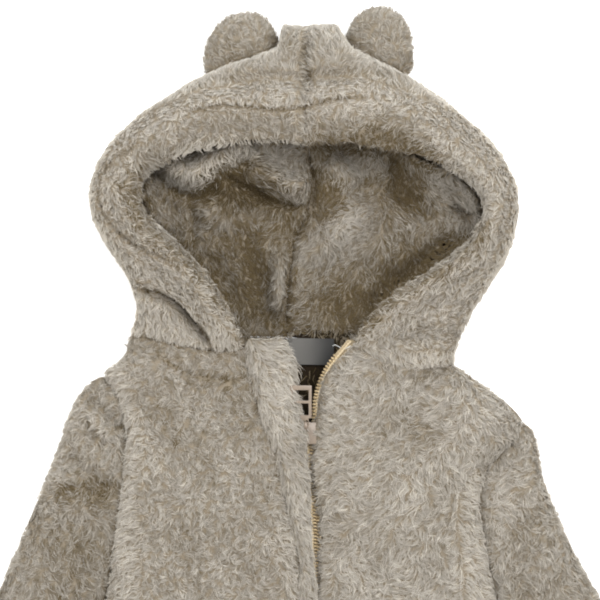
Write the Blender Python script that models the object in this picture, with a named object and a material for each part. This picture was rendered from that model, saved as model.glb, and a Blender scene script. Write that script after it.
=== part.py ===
"""Footed sleepsuit in teddy fleece, laid on its back with its hood open.

The suit is built the way it is sewn.  Every cloth piece is a wall of fleece
around its own middle surface, and neighbouring pieces share a seam line, each
held back from it by half a seam gap.  Millimetres, +X to the wearer's left,
+Y towards the hood, +Z up from the surface the suit lies on.  Y = 0 is at the
neck until the whole suit is centred on the origin at the end.
"""

import math

import bpy
import numpy as np
from mathutils import Vector
from mathutils.bvhtree import BVHTree

MM = 0.001

# Driving dimensions, in millimetres.
WALL = 3.0                # fleece with its pile pressed down
HEM_WALL = 7.5            # the rim of the hood, turned in and stitched
SEAM_GAP = 0.3            # between two pieces sewn together
ARMHOLE_GAP = 0.8         # the sleeve's own, measured across the suit
ARMHOLE_WALL = 2.1        # the seam allowances trimmed off at the sleeve head
ARMHOLE_RISE = 8.0        # how far the front stands over the seam at the armhole
ARMHOLE_DROP = 8.5        # and the back below it
FLOOR_Z = WALL / 2        # middle of a wall that lies on the surface
SEAM_Z = 13.0             # height of side seams, inseams and silhouettes
ZIP_EDGE_Z = 24.0         # middle of the front panels at the zip
TOE_Y = -555.0
TOE_BOW = 6.0             # how far the toe's middle runs past its corners
ANKLE_Y = -485.0
ZIP_END_Y = -300.0        # lower end of the zip
SLIDER_Y = -50.0          # middle of the slider
CROTCH_ROW = 19           # first row of the body where the legs part
PIT_ROW = 13              # row of the body at the underarm
LABEL_SIZE = (28.0, 16.0, 0.6)
LABEL_CORNER = (-8.6, 7.0)  # x and y of its upper corner on the wearer's right
LABEL_TILT = 0.02         # fall in y along its width
TEETH_SIZE = (2.2, 2.2)   # width and height of one row of teeth
TAPE_SIZE = (13.0, 0.8)   # width and thickness of one zip tape
EAR_HEIGHT = 7.0          # of one half of an ear, out from its seam
EAR_EDGE = 1.2            # of one half at its seam
EAR_CLEARANCE = 0.6       # between an ear and the crown it is sewn to
ZIP_STOP = 4.0            # from the last tooth to the zip's lower end
TAPE_CLEARANCE = 0.4      # between a tape and the front above it
LABEL_CLEARANCE = 0.4     # between the label and the back under it
SLIDER_CLEARANCE = 0.2    # between the slider's waist and the teeth
PLATE_DROP = 1.4          # from the tab's bar down to the slider's plate
BRIDGE_SINK = 0.4         # how deep the bridge is rooted in the plate

# Seen from above, side -1 is the wearer's right and side +1 the wearer's left.
SIDES = {"right": -1, "left": 1}

# Rows of the body from the neck down.  The middle of a row is on the centre
# back or at the zip, its side on the shoulder, armhole or side seam.  Columns:
# y at the middle, y and x at the side, height of the front, share of leg.
BODY_ROWS = {
    "right": (
        # middle_y  side_y  side_x  top_z  leg
        (8.0, 8.0, -102.0, 26.0, 0.0),
        (-8.0, -2.0, -104.0, 27.0, 0.0),
        (-18.0, -9.0, -109.0, 28.0, 0.0),
        (-27.0, -15.0, -118.0, 29.0, 0.0),
        (-36.0, -23.0, -112.5, 29.5, 0.0),
        (-45.0, -33.0, -107.0, 30.0, 0.0),
        (-55.0, -46.0, -105.0, 30.5, 0.0),
        (-65.0, -60.0, -105.0, 31.0, 0.0),
        (-77.0, -76.0, -106.5, 31.0, 0.0),
        (-92.0, -92.0, -108.5, 31.0, 0.0),
        (-108.0, -108.0, -111.5, 30.5, 0.0),
        (-124.0, -124.0, -113.0, 30.0, 0.0),
        (-141.0, -141.0, -115.0, 30.0, 0.0),
        (-158.0, -157.0, -119.0, 30.0, 0.0),
        (-172.0, -167.0, -114.5, 30.0, 0.0),
        (-200.0, -196.0, -114.0, 30.0, 0.0),
        (-250.0, -250.0, -121.0, 31.0, 0.0),
        (-300.0, -300.0, -126.0, 30.5, 0.0),
        (-309.0, -312.0, -127.0, 30.0, 0.0),
        (-346.0, -345.0, -129.0, 29.0, 0.3),
        (-356.0, -362.0, -128.5, 28.0, 0.75),
        (-374.0, -385.0, -126.5, 28.0, 1.0),
        (-410.0, -415.0, -122.0, 27.0, 1.0),
        (-448.0, -448.0, -115.0, 27.0, 1.0),
        (ANKLE_Y, ANKLE_Y, -108.0, 28.0, 1.0),
    ),
    "left": (
        (8.0, -9.0, 90.0, 26.0, 0.0),
        (-8.0, -18.0, 101.0, 27.0, 0.0),
        (-18.0, -27.0, 114.0, 28.0, 0.0),
        (-27.0, -36.0, 126.0, 29.0, 0.0),
        (-36.0, -44.0, 132.0, 29.5, 0.0),
        (-45.0, -52.0, 129.5, 30.0, 0.0),
        (-55.0, -59.0, 124.0, 30.5, 0.0),
        (-65.0, -65.5, 116.5, 31.0, 0.0),
        (-77.0, -74.0, 109.5, 31.0, 0.0),
        (-92.0, -86.0, 105.5, 31.5, 0.0),
        (-108.0, -104.0, 107.0, 31.0, 0.0),
        (-124.0, -122.0, 110.5, 30.5, 0.0),
        (-141.0, -141.0, 113.5, 30.0, 0.0),
        (-158.0, -158.0, 118.0, 30.0, 0.0),
        (-172.0, -168.0, 113.5, 30.0, 0.0),
        (-200.0, -197.0, 113.0, 30.0, 0.0),
        (-250.0, -250.0, 120.0, 31.0, 0.0),
        (-300.0, -300.0, 125.0, 30.5, 0.0),
        (-309.0, -312.0, 126.0, 30.0, 0.0),
        (-346.0, -345.0, 128.0, 29.0, 0.3),
        (-356.0, -362.0, 127.5, 28.0, 0.75),
        (-374.0, -385.0, 125.5, 28.0, 1.0),
        (-410.0, -415.0, 121.0, 27.0, 1.0),
        (-448.0, -448.0, 114.0, 27.0, 1.0),
        (ANKLE_Y, ANKLE_Y, 107.0, 28.0, 1.0),
    ),
}
ARM_ROWS = {"right": (3, PIT_ROW), "left": (4, PIT_ROW)}

# Inner edge of each leg from the crotch down: row y and x, to be mirrored.
INSEAM = ((-309.0, 0.0), (-346.0, 1.3), (-356.0, 5.0), (-374.0, 11.0),
          (-410.0, 18.0), (-448.0, 25.0), (ANKLE_Y, 31.0))

# Feet from the ankle to the toe: y, inner x, outer x and height.
FOOT_ROWS = (
    (ANKLE_Y, 31.0, 107.5, 28.0),
    (-498.0, 32.0, 109.5, 34.0),
    (-514.0, 32.5, 111.0, 37.0),
    (-530.0, 34.5, 109.0, 36.0),
    (-544.0, 41.0, 102.0, 33.0),
    (TOE_Y, 56.0, 86.0, 25.0),
)

# The zip: y and x of its line.  Above the slider each half has its own way.
ZIP_OPEN = {
    "right": ((6.0, -16.0), (-4.0, -13.5), (-14.0, -11.0), (-24.0, -8.0), (-34.0, -4.0),
              (-44.0, 1.5), (-56.0, 4.5)),
    "left": ((6.0, 28.5), (-1.5, 22.0), (-9.0, 16.2), (-18.0, 11.4), (-28.0, 8.4),
             (-38.0, 7.4), (-56.0, 7.1)),
}
ZIP_CLOSED = ((-56.0, 5.8), (-76.0, 6.4), (-98.0, 8.2), (-118.0, 9.0), (-150.0, 10.0),
              (-220.0, 7.0), (ZIP_END_Y, 1.5))
TEETH_PITCH = 1.3         # from the zip's line to the middle of a row of teeth
ZIP_EDGE = 3.4            # from the zip's line to the edge of a front panel

# Neck seam on the front, from the zip to the side: x, y and z.
NECK_FRONT = {
    "right": ((-18.0, 5.0, ZIP_EDGE_Z), (-23.0, 4.0, 24.6), (-30.0, 2.5, 26.5),
              (-37.0, 0.5, 29.0), (-46.0, -1.5, 28.0), (-55.5, 0.0, 25.5),
              (-68.0, 1.5, 25.0), (-80.0, 4.5, 23.5), (-90.0, 6.8, 21.0),
              (-97.0, 8.0, 18.0), (-100.5, 8.2, 15.6), (-102.0, 8.0, SEAM_Z)),
    "left": ((31.5, 3.0, ZIP_EDGE_Z), (37.0, -1.5, 26.0), (46.0, -5.5, 27.0),
             (56.0, -9.0, 26.5), (66.0, -10.8, 25.0), (75.0, -11.0, 22.6),
             (82.5, -10.2, 19.6), (88.0, -9.2, 16.4), (90.0, -9.0, SEAM_Z)),
}
GUARD_COLUMNS = 3         # columns of the right front between zip and hood rim

# Share of the way from the centre back to the side, from the side inwards.
BACK_SHARES = (1.0, 0.983, 0.944, 0.87, 0.74, 0.60, 0.45, 0.30, 0.15, 0.0)
EDGE_SHARE = 0.75         # where a panel starts to round over to its side

# The hood from its top seam (first row) down to the neck.  Columns: fold of
# the rim, silhouette, width of the rim's roll, heights of the fold, the
# roll's crest, the valley behind it and the cloth beyond, and y on the seam.
HOOD_ROWS = {
    "right": (
        # rim_x  rim_y  edge_x  edge_y  band  rim_z  crest  valley  puff  seam_y
        (1.2, 125.0, 4.5, 193.5, 35.0, 42.0, 48.0, 44.0, 41.0, 166.0),
        (-11.0, 126.8, -9.5, 194.0, 35.0, 41.5, 48.0, 43.5, 40.0, 164.0),
        (-24.0, 127.5, -12.3, 180.9, 34.0, 41.0, 47.5, 42.5, 39.0, 160.0),
        (-46.0, 125.0, -43.0, 170.5, 33.0, 40.0, 47.0, 43.0, 39.0, 153.0),
        (-67.0, 121.0, -66.0, 160.0, 28.0, 39.0, 46.5, 43.5, 38.0, 145.0),
        (-84.0, 114.5, -87.0, 146.0, 22.0, 38.0, 46.0, 43.5, 38.0, 136.0),
        (-95.0, 107.0, -105.0, 133.5, 20.0, 36.0, 45.0, 42.5, 36.0, 126.0),
        (-100.0, 97.0, -118.0, 119.5, 19.0, 35.0, 44.0, 41.5, 35.0, 115.0),
        (-99.0, 87.0, -126.0, 103.0, 20.0, 34.0, 43.0, 41.0, 35.0, 101.0),
        (-93.0, 77.0, -127.0, 87.0, 21.0, 34.0, 43.0, 40.0, 35.0, 87.0),
        (-80.0, 65.0, -121.5, 70.0, 22.0, 34.0, 42.5, 38.0, 36.0, 71.0),
        (-67.0, 54.0, -110.5, 56.0, 23.0, 34.0, 42.0, 36.5, 35.0, 57.0),
        (-56.0, 42.0, -103.0, 43.0, 25.0, 34.0, 41.5, 33.0, 31.0, 42.0),
        (-48.0, 30.0, -98.5, 31.0, 27.0, 34.0, 41.0, 27.5, 27.5, 30.0),
        (-41.5, 16.0, -98.5, 19.5, 22.0, 33.0, 39.0, 25.0, 27.0, 19.0),
    ),
    "left": (
        (1.2, 125.0, 4.5, 193.5, 35.0, 42.0, 48.0, 44.0, 41.0, 166.0),
        (12.5, 126.0, 19.5, 194.5, 35.0, 41.5, 48.0, 43.5, 40.0, 164.0),
        (23.0, 126.0, 28.0, 180.0, 34.0, 41.0, 47.5, 42.5, 39.0, 160.0),
        (46.0, 123.0, 45.0, 173.0, 33.0, 40.0, 47.0, 43.0, 39.0, 153.0),
        (66.0, 120.0, 64.5, 163.0, 28.0, 39.0, 46.5, 43.0, 38.0, 145.0),
        (83.0, 114.5, 85.0, 148.0, 21.0, 38.0, 46.0, 43.0, 38.0, 136.0),
        (96.0, 107.0, 102.5, 134.5, 17.0, 36.0, 45.0, 42.5, 37.0, 126.0),
        (106.0, 99.0, 117.0, 120.0, 14.0, 35.0, 44.0, 42.0, 36.0, 115.0),
        (112.0, 89.0, 127.5, 101.0, 12.5, 34.0, 43.0, 41.0, 36.0, 101.0),
        (110.5, 78.0, 129.5, 86.0, 12.5, 34.0, 43.0, 41.0, 36.0, 87.0),
        (102.0, 64.0, 127.0, 69.0, 14.0, 34.0, 42.5, 40.0, 36.5, 71.0),
        (90.0, 53.5, 120.5, 54.0, 16.0, 34.0, 42.0, 38.0, 36.0, 57.0),
        (74.0, 43.5, 111.5, 40.0, 18.0, 34.0, 41.5, 37.0, 34.0, 42.0),
        (56.0, 32.5, 102.5, 26.0, 20.0, 34.0, 41.0, 36.0, 31.0, 30.0),
        (40.0, 17.5, 93.5, 8.0, 20.0, 32.0, 37.0, 31.0, 26.0, 19.0),
    ),
}
# Where the columns of a hood row lie: on its roll, then out to its silhouette.
ROLL_SHARES = (0.0, 0.40, 0.72, 1.0)
PUFF_SHARES = (0.22, 0.5, 0.76, 0.93, 1.0)
HEM_THICKNESS = (0.80, 1.0, 0.85, 0.55)     # shares of HEM_WALL on the roll

# The seam over the crown and down the back of the hood: y and x.
CROWN_SEAM = ((125.0, 1.2), (142.0, 2.0), (160.0, 2.6), (172.0, 2.0), (185.0, 4.0), (193.5, 4.5))
BACK_SEAM = ((8.0, -9.0), (41.0, -8.5), (53.0, -6.6), (67.0, -4.0), (80.0, 2.6), (92.0, 6.0),
             (103.0, 6.5), (123.0, 4.0), (166.0, 4.5), (193.5, 4.5))

# Folds of the cloth inside the hood: two ends, height and half width.
HOOD_FOLDS = (
    # x0  y0  x1  y1  height  spread
    (-80.0, 112.0, -58.0, 106.0, 20.0, 13.0),
    (-46.0, 122.0, -8.0, 127.0, 18.0, 12.0),
    (-48.0, 106.0, 2.0, 101.0, 14.0, 11.0),
    (-66.0, 90.0, -58.0, 58.0, 9.0, 13.0),
    (-10.0, 56.0, -8.0, 24.0, 7.0, 12.0),
    (22.0, 92.0, 48.0, 62.0, 11.0, 20.0),
    (78.0, 108.0, 92.0, 92.0, 14.0, 12.0),
)

# Ears: base line on the crown and outline, from one side round to the other.
EARS = {
    "right": {
        "base": ((-56.0, 165.5), (-43.0, 170.5), (-30.0, 175.0), (-17.0, 179.0)),
        "outline": ((-58.0, 173.0), (-57.5, 182.0), (-54.0, 191.0), (-47.0, 199.0),
                    (-36.0, 203.5), (-26.0, 202.5), (-19.0, 196.5), (-15.5, 189.0),
                    (-14.5, 183.0)),
    },
    "left": {
        "base": ((28.0, 180.0), (36.0, 176.5), (48.0, 171.5), (62.0, 164.5)),
        "outline": ((27.0, 184.5), (28.5, 193.0), (33.5, 201.0), (42.0, 206.5),
                    (51.0, 206.8), (59.5, 201.5), (64.5, 192.0), (66.0, 181.0),
                    (65.5, 170.5)),
    },
}

# Sleeves from the armhole to the cuff: outer edge, inner edge and height.
SLEEVE_ROWS = {
    "right": (
        (-127.0, -20.0, -124.0, -161.0, 23.0),
        (-138.5, -35.0, -131.0, -169.0, 25.0),
        (-144.5, -58.0, -137.0, -181.0, 26.0),
        (-158.0, -91.0, -141.0, -196.0, 26.0),
        (-172.5, -126.0, -144.0, -212.0, 25.0),
        (-190.0, -168.0, -147.0, -228.0, 24.0),
        (-208.5, -216.0, -150.0, -242.0, 22.0),
    ),
    "left": (
        (137.0, -48.0, 123.0, -162.0, 23.0),
        (140.0, -56.0, 130.0, -170.0, 25.0),
        (142.5, -76.0, 137.0, -182.0, 26.0),
        (153.0, -103.0, 142.0, -197.0, 26.0),
        (171.0, -137.0, 146.0, -213.0, 25.0),
        (191.0, -176.0, 150.0, -230.0, 24.0),
        (212.0, -220.0, 155.0, -248.0, 22.0),
    ),
}
CUFF_WALL = 4.5           # the cuff is turned in once

# The roll of fleece that guards the zip: y, left edge, right edge, height.
GUARD_ROWS = (
    (6.5, -32.5, -11.0, 3.5), (1.0, -33.0, -8.0, 6.5), (-8.0, -33.0, -6.0, 8.0),
    (-17.0, -31.0, -8.6, 7.5), (-26.0, -28.5, -8.8, 7.5), (-38.0, -25.0, -8.6, 7.0),
    (-50.0, -20.5, -3.0, 6.5), (-63.0, -15.0, 1.6, 6.5), (-80.0, -11.5, 3.2, 6.5),
    (-98.0, -7.5, 4.2, 6.0), (-120.0, -2.5, 6.0, 5.5), (-145.0, 0.5, 8.0, 5.5),
    (-220.0, -6.0, 5.0, 5.5), (-290.0, -11.0, 1.0, 5.5), (-312.0, -10.0, 0.0, 3.5),
)
GUARD_COLUMN_COUNT = 7
GUARD_EDGE = 1.4          # thickness of the roll at its two edges
GUARD_SECTION = 2.4       # power of its rounded section
GUARD_LIFT = 0.8          # clearance over the front, and more at its top end
GUARD_TOP_LIFT = 1.3
GUARD_SEAT_INSET = 1.0    # the front is measured this far in from its edge
GUARD_NECK_INSET = 1.5    # and this far below the neck seam

# Slider and pull tab.
SLIDER_X = 4.6
SLIDER_PLATE = (8.0, 13.0, 1.3)
SLIDER_NECK = (3.0, 9.0)
PULL_OFFSET = 2.4         # of the tab's eye from the slider's middle
HINGE_Y = -45.5
HINGE_Z = 30.6
BAR_RADIUS = 0.6          # the tab's bar under the slider's bridge
BRIDGE_INNER = 1.2
BRIDGE_OUTER = 2.7
BRIDGE_WIDTH = 1.8
PULL_TILT = math.radians(6.0)
PULL_THICKNESS = 1.4
PULL_SIDES = (-9.6, -7.7, 1.8, 3.6)     # x of the side bars' faces from the eye
PULL_BARS = (4.6, 6.4, 13.6, 15.2, 21.6, 24.4)  # y of the cross bars' faces
PULL_EYE = (0.4, 1.3, 3.3)  # play beside the bridge, width of an arm, the slot's end

FLEECE = (0.37, 0.33, 0.28, 1.0)
LABEL_WHITE = (0.82, 0.82, 0.82, 1.0)
TAPE_CREAM = (0.60, 0.50, 0.36, 1.0)
TEETH_GOLD = (0.52, 0.40, 0.24, 1.0)
ENAMEL = (0.62, 0.50, 0.40, 1.0)


def clear_scene():
    """Removes whatever the file holds before the suit is built."""
    for item in list(bpy.data.objects):
        bpy.data.objects.remove(item, do_unlink=True)


def material(name, colour, roughness=0.9, metallic=0.0):
    """Returns a Principled material of one colour."""
    made = bpy.data.materials.new(name)
    made.use_nodes = True
    shader = made.node_tree.nodes["Principled BSDF"]
    shader.inputs["Base Color"].default_value = colour
    shader.inputs["Roughness"].default_value = roughness
    shader.inputs["Metallic"].default_value = metallic
    return made


def along(table, wanted):
    """Reads a table of (key, value) pairs as a smooth curve at the wanted key."""
    keys = np.array([row[0] for row in table])
    values = np.array([row[1] for row in table])
    if keys[0] > keys[-1]:
        keys, values = keys[::-1], values[::-1]
    slopes = np.gradient(values, keys)
    key = min(max(wanted, keys[0]), keys[-1])
    cell = int(min(max(np.searchsorted(keys, key) - 1, 0), len(keys) - 2))
    width = keys[cell + 1] - keys[cell]
    s = (key - keys[cell]) / width
    start = (1 + 2 * s) * (1 - s) ** 2 * values[cell] + s * (1 - s) ** 2 * width * slopes[cell]
    end = s * s * (3 - 2 * s) * values[cell + 1] + s * s * (s - 1) * width * slopes[cell + 1]
    return float(start + end)


def quarter_fall(share):
    """Height left of a rounded edge: 1 before EDGE_SHARE, 0 at share 1."""
    over = max(0.0, (share - EDGE_SHARE) / (1 - EDGE_SHARE))
    return math.sqrt(max(0.0, 1 - over * over))


def unit(vector):
    """Returns the vector at length 1."""
    vector = np.asarray(vector, float)
    return vector / np.linalg.norm(vector)


def grid_normals(points, way, closed=False):
    """Normals of a grid of points, turned so that they mostly run a given way.

    The way is one direction for the whole grid or one for each point.  The
    columns of a closed grid go round a tube.
    """
    down = np.gradient(points, axis=0)
    across = np.gradient(points, axis=1)
    if closed:
        across = np.roll(points, -1, axis=1) - np.roll(points, 1, axis=1)
    normals = np.cross(across, down)
    normals /= np.linalg.norm(normals, axis=2, keepdims=True)
    return normals if np.sum(normals * way) > 0 else -normals


def grid_faces(rows, columns, start=0):
    """Quads of a grid whose points are numbered row by row."""
    faces = []
    for row in range(rows - 1):
        for column in range(columns - 1):
            a = start + row * columns + column
            faces.append((a, a + columns, a + columns + 1, a + 1))
    return faces


def facing(faces, points, normals):
    """Turns each face over where it doesn't face along its points' normals."""
    turned = []
    for face in faces:
        a, b, c, d = (points[number] for number in face)
        way = np.cross(c - a, d - b)
        along_normals = np.dot(way, sum(normals[number] for number in face))
        turned.append(tuple(face) if along_normals > 0 else tuple(reversed(face)))
    return turned


def wall_mesh(points, normals, thickness, faces):
    """Thickens a middle surface into one closed wall."""
    points = np.asarray(points, float).reshape(-1, 3)
    normals = np.asarray(normals, float).reshape(-1, 3)
    half = np.asarray(thickness, float).reshape(-1, 1) / 2
    count = len(points)
    faces = facing(faces, points, normals)
    verts = np.vstack((points + normals * half, points - normals * half))
    edges = {}
    for face in faces:
        for a, b in zip(face, face[1:] + face[:1]):
            edges[(a, b)] = True
    solid = [tuple(face) for face in faces]
    solid += [tuple(count + v for v in reversed(face)) for face in faces]
    for a, b in edges:
        if (b, a) not in edges:
            solid.append((b, a, count + a, count + b))
    return verts, solid


def add_piece(name, verts, faces, paint, parent=None, origin=(0.0, 0.0, 0.0)):
    """Adds one named object in metres, its mesh measured from its origin."""
    mesh = bpy.data.meshes.new(name)
    local = (np.asarray(verts, float) - np.asarray(origin, float)) * MM
    mesh.from_pydata([tuple(v) for v in local], [], [tuple(f) for f in faces])
    mesh.materials.append(paint)
    mesh.validate()
    item = bpy.data.objects.new(name, mesh)
    item.location = Vector(origin) * MM
    item.parent = parent
    bpy.context.collection.objects.link(item)
    return item


def add_wall(name, points, normals, thickness, paint, faces=None):
    """Adds a wall made from a grid of points, or from points and their faces."""
    if faces is None:
        faces = grid_faces(*points.shape[:2])
    verts, solid = wall_mesh(points, normals, thickness, faces)
    add_piece(name, verts, solid, paint)
    return verts, solid


def upright(points):
    """Normals that all point up, one for each point."""
    normals = np.zeros_like(points)
    normals[:, :, 2] = 1.0
    return normals


def height_over(solid, x, y, from_above=True):
    """Height of a solid's upper or lower face at a place, or None beside it."""
    verts, faces = solid
    tree = BVHTree.FromPolygons([Vector(v) for v in verts], faces)
    start, way = (200.0, -1.0) if from_above else (-50.0, 1.0)
    hit = tree.ray_cast(Vector((x, y, start)), Vector((0.0, 0.0, way)))
    return None if hit[0] is None else hit[0].z


# ---------------------------------------------------------------- body

def zip_edge_x(side, y):
    """x of a front panel's edge at the zip."""
    sign = SIDES[side]
    if y > SLIDER_Y:
        return along(ZIP_OPEN[side], y) + sign * (ZIP_EDGE - TEETH_PITCH)
    seam = sign * SEAM_GAP / 2
    edge = along(ZIP_CLOSED, y) + sign * ZIP_EDGE
    return edge if y >= ZIP_END_Y else seam


def leg_turn(sign, leg):
    """Normal of a panel's inner edge: up on the body, sideways on a leg."""
    return unit((-sign * leg, 0.0, 1.0 - leg + 1e-9))


def side_normals(side):
    """Outward directions in plan along the shoulder, armhole and side seam."""
    places = np.array([(row[2], row[1]) for row in BODY_ROWS[side]])
    ways = np.gradient(places, axis=0)
    sign = SIDES[side]
    normals = np.stack((-ways[:, 1], ways[:, 0], np.zeros(len(ways))), axis=1) * sign
    normals /= np.linalg.norm(normals, axis=1, keepdims=True)
    first, last = ARM_ROWS[side]
    normals[first] = unit((sign * 0.55, 0.83, 0.0))
    normals[last] = unit((sign * 0.15, -1.0, 0.0))
    normals[last + 1] = unit((sign, -0.25, 0.0))
    return normals


def arm_openness(side, row):
    """How far the front and back stand apart at the armhole, 0 at its ends."""
    first, last = ARM_ROWS[side]
    if not first < row < last:
        return 0.0
    return math.sqrt(math.sin(math.pi * (row - first) / (last - first)))


def front_section(share, top_z, side_z, leg):
    """Height across a front panel, from the zip or inseam to the side."""
    rise = math.sin(math.pi / 2 * min(1.0, share / 0.35))
    crown = ZIP_EDGE_Z + (top_z - ZIP_EDGE_Z) * rise
    body = side_z + (crown - side_z) * quarter_fall(share)
    across = abs(2 * share - 1)
    tube = side_z + (top_z - side_z) * math.sqrt(max(0.0, 1 - across ** 3))
    return body + (tube - body) * leg


def seam_normal(side, row, up):
    """Normal at a panel's side edge: outward, or up or down on the armhole."""
    weight = arm_openness(side, row)
    return unit(side_normals(side)[row] * (1 - weight) + np.array((0.0, 0.0, up)) * weight)


def front_grid(side):
    """Middle surface and normals of one front with its leg."""
    sign = SIDES[side]
    neck = np.array(NECK_FRONT[side])
    shares = (neck[:, 0] - neck[0, 0]) / (neck[-1, 0] - neck[0, 0])
    rows = BODY_ROWS[side]
    points = np.zeros((len(rows), len(shares), 3))
    points[0] = neck - (0.0, SEAM_GAP / 2, 0.0)
    points[0, -1, 2] += SEAM_GAP / 2
    for number, (middle_y, side_y, side_x, top_z, leg) in enumerate(rows[1:], 1):
        inner_x = zip_edge_x(side, middle_y)
        if number >= CROTCH_ROW:
            inner_x = sign * along(INSEAM, middle_y)
        side_z = SEAM_Z + SEAM_GAP / 2 + ARMHOLE_RISE * arm_openness(side, number)
        for column, share in enumerate(shares):
            y = middle_y + (side_y - middle_y) * share
            x = inner_x + (side_x - inner_x) * share
            points[number, column] = (x, y, front_section(share, top_z, side_z, leg))
    normals = grid_normals(points, (0.0, 0.0, 1.0))
    for number, row in enumerate(rows):
        normals[number, -1] = seam_normal(side, number, 1.0)
        if number >= CROTCH_ROW - 1:
            normals[number, 0] = leg_turn(sign, row[4])
    normals[0, :-1] = (0.0, 0.0, 1.0)
    normals[0, -1] = (sign, 0.0, 0.0)
    normals[0, -2] = unit((sign * 0.7, 0.0, 0.7))
    normals[0, -3] = unit((sign * 0.4, 0.0, 0.9))
    return points, normals


def back_grid(side):
    """Middle surface and normals of one half of the back with its leg."""
    sign = SIDES[side]
    rows = BODY_ROWS[side]
    points = np.zeros((len(rows), len(BACK_SHARES), 3))
    for number, (middle_y, side_y, side_x, _, leg) in enumerate(rows):
        inner_x = along(BACK_SEAM, 8.0) if number == 0 else 0.0
        if number >= CROTCH_ROW:
            inner_x = sign * along(INSEAM, middle_y)
        side_z = SEAM_Z - SEAM_GAP / 2 - ARMHOLE_DROP * arm_openness(side, number)
        for column, share in enumerate(BACK_SHARES):
            y = middle_y + (side_y - middle_y) * share
            x = inner_x + (side_x - inner_x) * share
            lift = 1 - quarter_fall(share)
            inner = max(0.0, 1 - share / 0.25)
            lift += leg * (1 - math.sqrt(1 - inner * inner))
            points[number, column] = (x, y, FLOOR_Z + (side_z - FLOOR_Z) * min(1.0, lift))
    points[0, :, 1] -= SEAM_GAP / 2
    normals = grid_normals(points, (0.0, 0.0, -1.0))
    flat = np.abs(points[:, :, 2] - FLOOR_Z) < 0.01
    normals[flat] = (0.0, 0.0, -1.0)
    for number, row in enumerate(rows):
        normals[number, 0] = seam_normal(side, number, -1.0)
        if number >= CROTCH_ROW - 1:
            normals[number, -1] = unit((-sign * row[4], 0.0, row[4] - 1.0 - 1e-9))
    normals[0, 0] = (sign, 0.0, 0.0)
    normals[0, 1:] = (0.0, 0.0, -1.0)
    normals[0, 1] = unit((sign * 0.8, 0.0, -0.6))
    normals[0, 2] = unit((sign * 0.5, 0.0, -0.85))
    return points, normals


def build_fronts(paint):
    """Builds both fronts and returns their grids and solids by side."""
    made = {}
    for side in SIDES:
        points, normals = front_grid(side)
        thickness = np.full(points.shape[:2], WALL)
        solid = add_wall(f"front_{side}", points, normals, thickness, paint)
        made[side] = (points, normals, solid)
    return made


def build_back(paint):
    """Builds the back, whose halves are one piece down to the crotch."""
    halves = {side: back_grid(side) for side in SIDES}
    columns = len(BACK_SHARES)
    rows = len(BODY_ROWS["right"])
    points = list(halves["right"][0].reshape(-1, 3))
    normals = list(halves["right"][1].reshape(-1, 3))
    faces = grid_faces(rows, columns)
    numbers = {}
    for row in range(rows):
        for column in range(columns):
            if column == columns - 1 and row < CROTCH_ROW:
                shared = row * columns + column
                numbers[row, column] = shared
                normals[shared] = np.array((0.0, 0.0, -1.0))
                continue
            numbers[row, column] = len(points)
            points.append(halves["left"][0][row, column])
            normals.append(halves["left"][1][row, column])
    for row in range(rows - 1):
        for column in range(columns - 1):
            corners = ((row, column), (row, column + 1), (row + 1, column + 1), (row + 1, column))
            faces.append(tuple(numbers[corner] for corner in corners))
    thickness = np.full(len(points), WALL)
    add_wall("back", np.array(points), np.array(normals), thickness, paint, faces)
    return halves


# ---------------------------------------------------------------- feet

def foot_grids(side, front, back):
    """Upper and sole of one foot, which start at the leg's own last row."""
    sign = SIDES[side]
    leg_rows = (front[-1], back[-1][::-1])
    grids = []
    for upper, leg_row in zip((True, False), leg_rows):
        shares = (leg_row[:, 0] - leg_row[0, 0]) / (leg_row[-1, 0] - leg_row[0, 0])
        points = np.zeros((len(FOOT_ROWS), len(shares), 3))
        points[0] = leg_row - (0.0, SEAM_GAP, 0.0)
        for number in range(1, len(FOOT_ROWS)):
            y, inner, outer, top = FOOT_ROWS[number]
            inner_x, outer_x = sign * inner, sign * outer
            run = (ANKLE_Y - y) / (ANKLE_Y - TOE_Y)
            for column, share in enumerate(shares):
                across = abs(2 * share - 1)
                bow = TOE_BOW * run * (1 - across * across)
                x = inner_x + (outer_x - inner_x) * share
                if upper:
                    dome = math.sqrt(max(0.0, 1 - across ** 3))
                    close = math.sqrt(max(0.0, 1 - run ** 4))
                    z = SEAM_Z + SEAM_GAP / 2 + (top - SEAM_Z) * dome * close
                else:
                    over = max(0.0, across / 2 - 0.25) / 0.25
                    toe = max(0.0, (run - 0.6) / 0.4)
                    hollow = math.sqrt(max(0.0, 1 - min(1.0, over * over)))
                    hollow *= math.sqrt(max(0.0, 1 - toe * toe))
                    z = SEAM_Z - SEAM_GAP / 2 - (SEAM_Z - SEAM_GAP / 2 - FLOOR_Z) * hollow
                points[number, column] = (x, y - bow, z)
        grids.append(points)
    return grids


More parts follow.
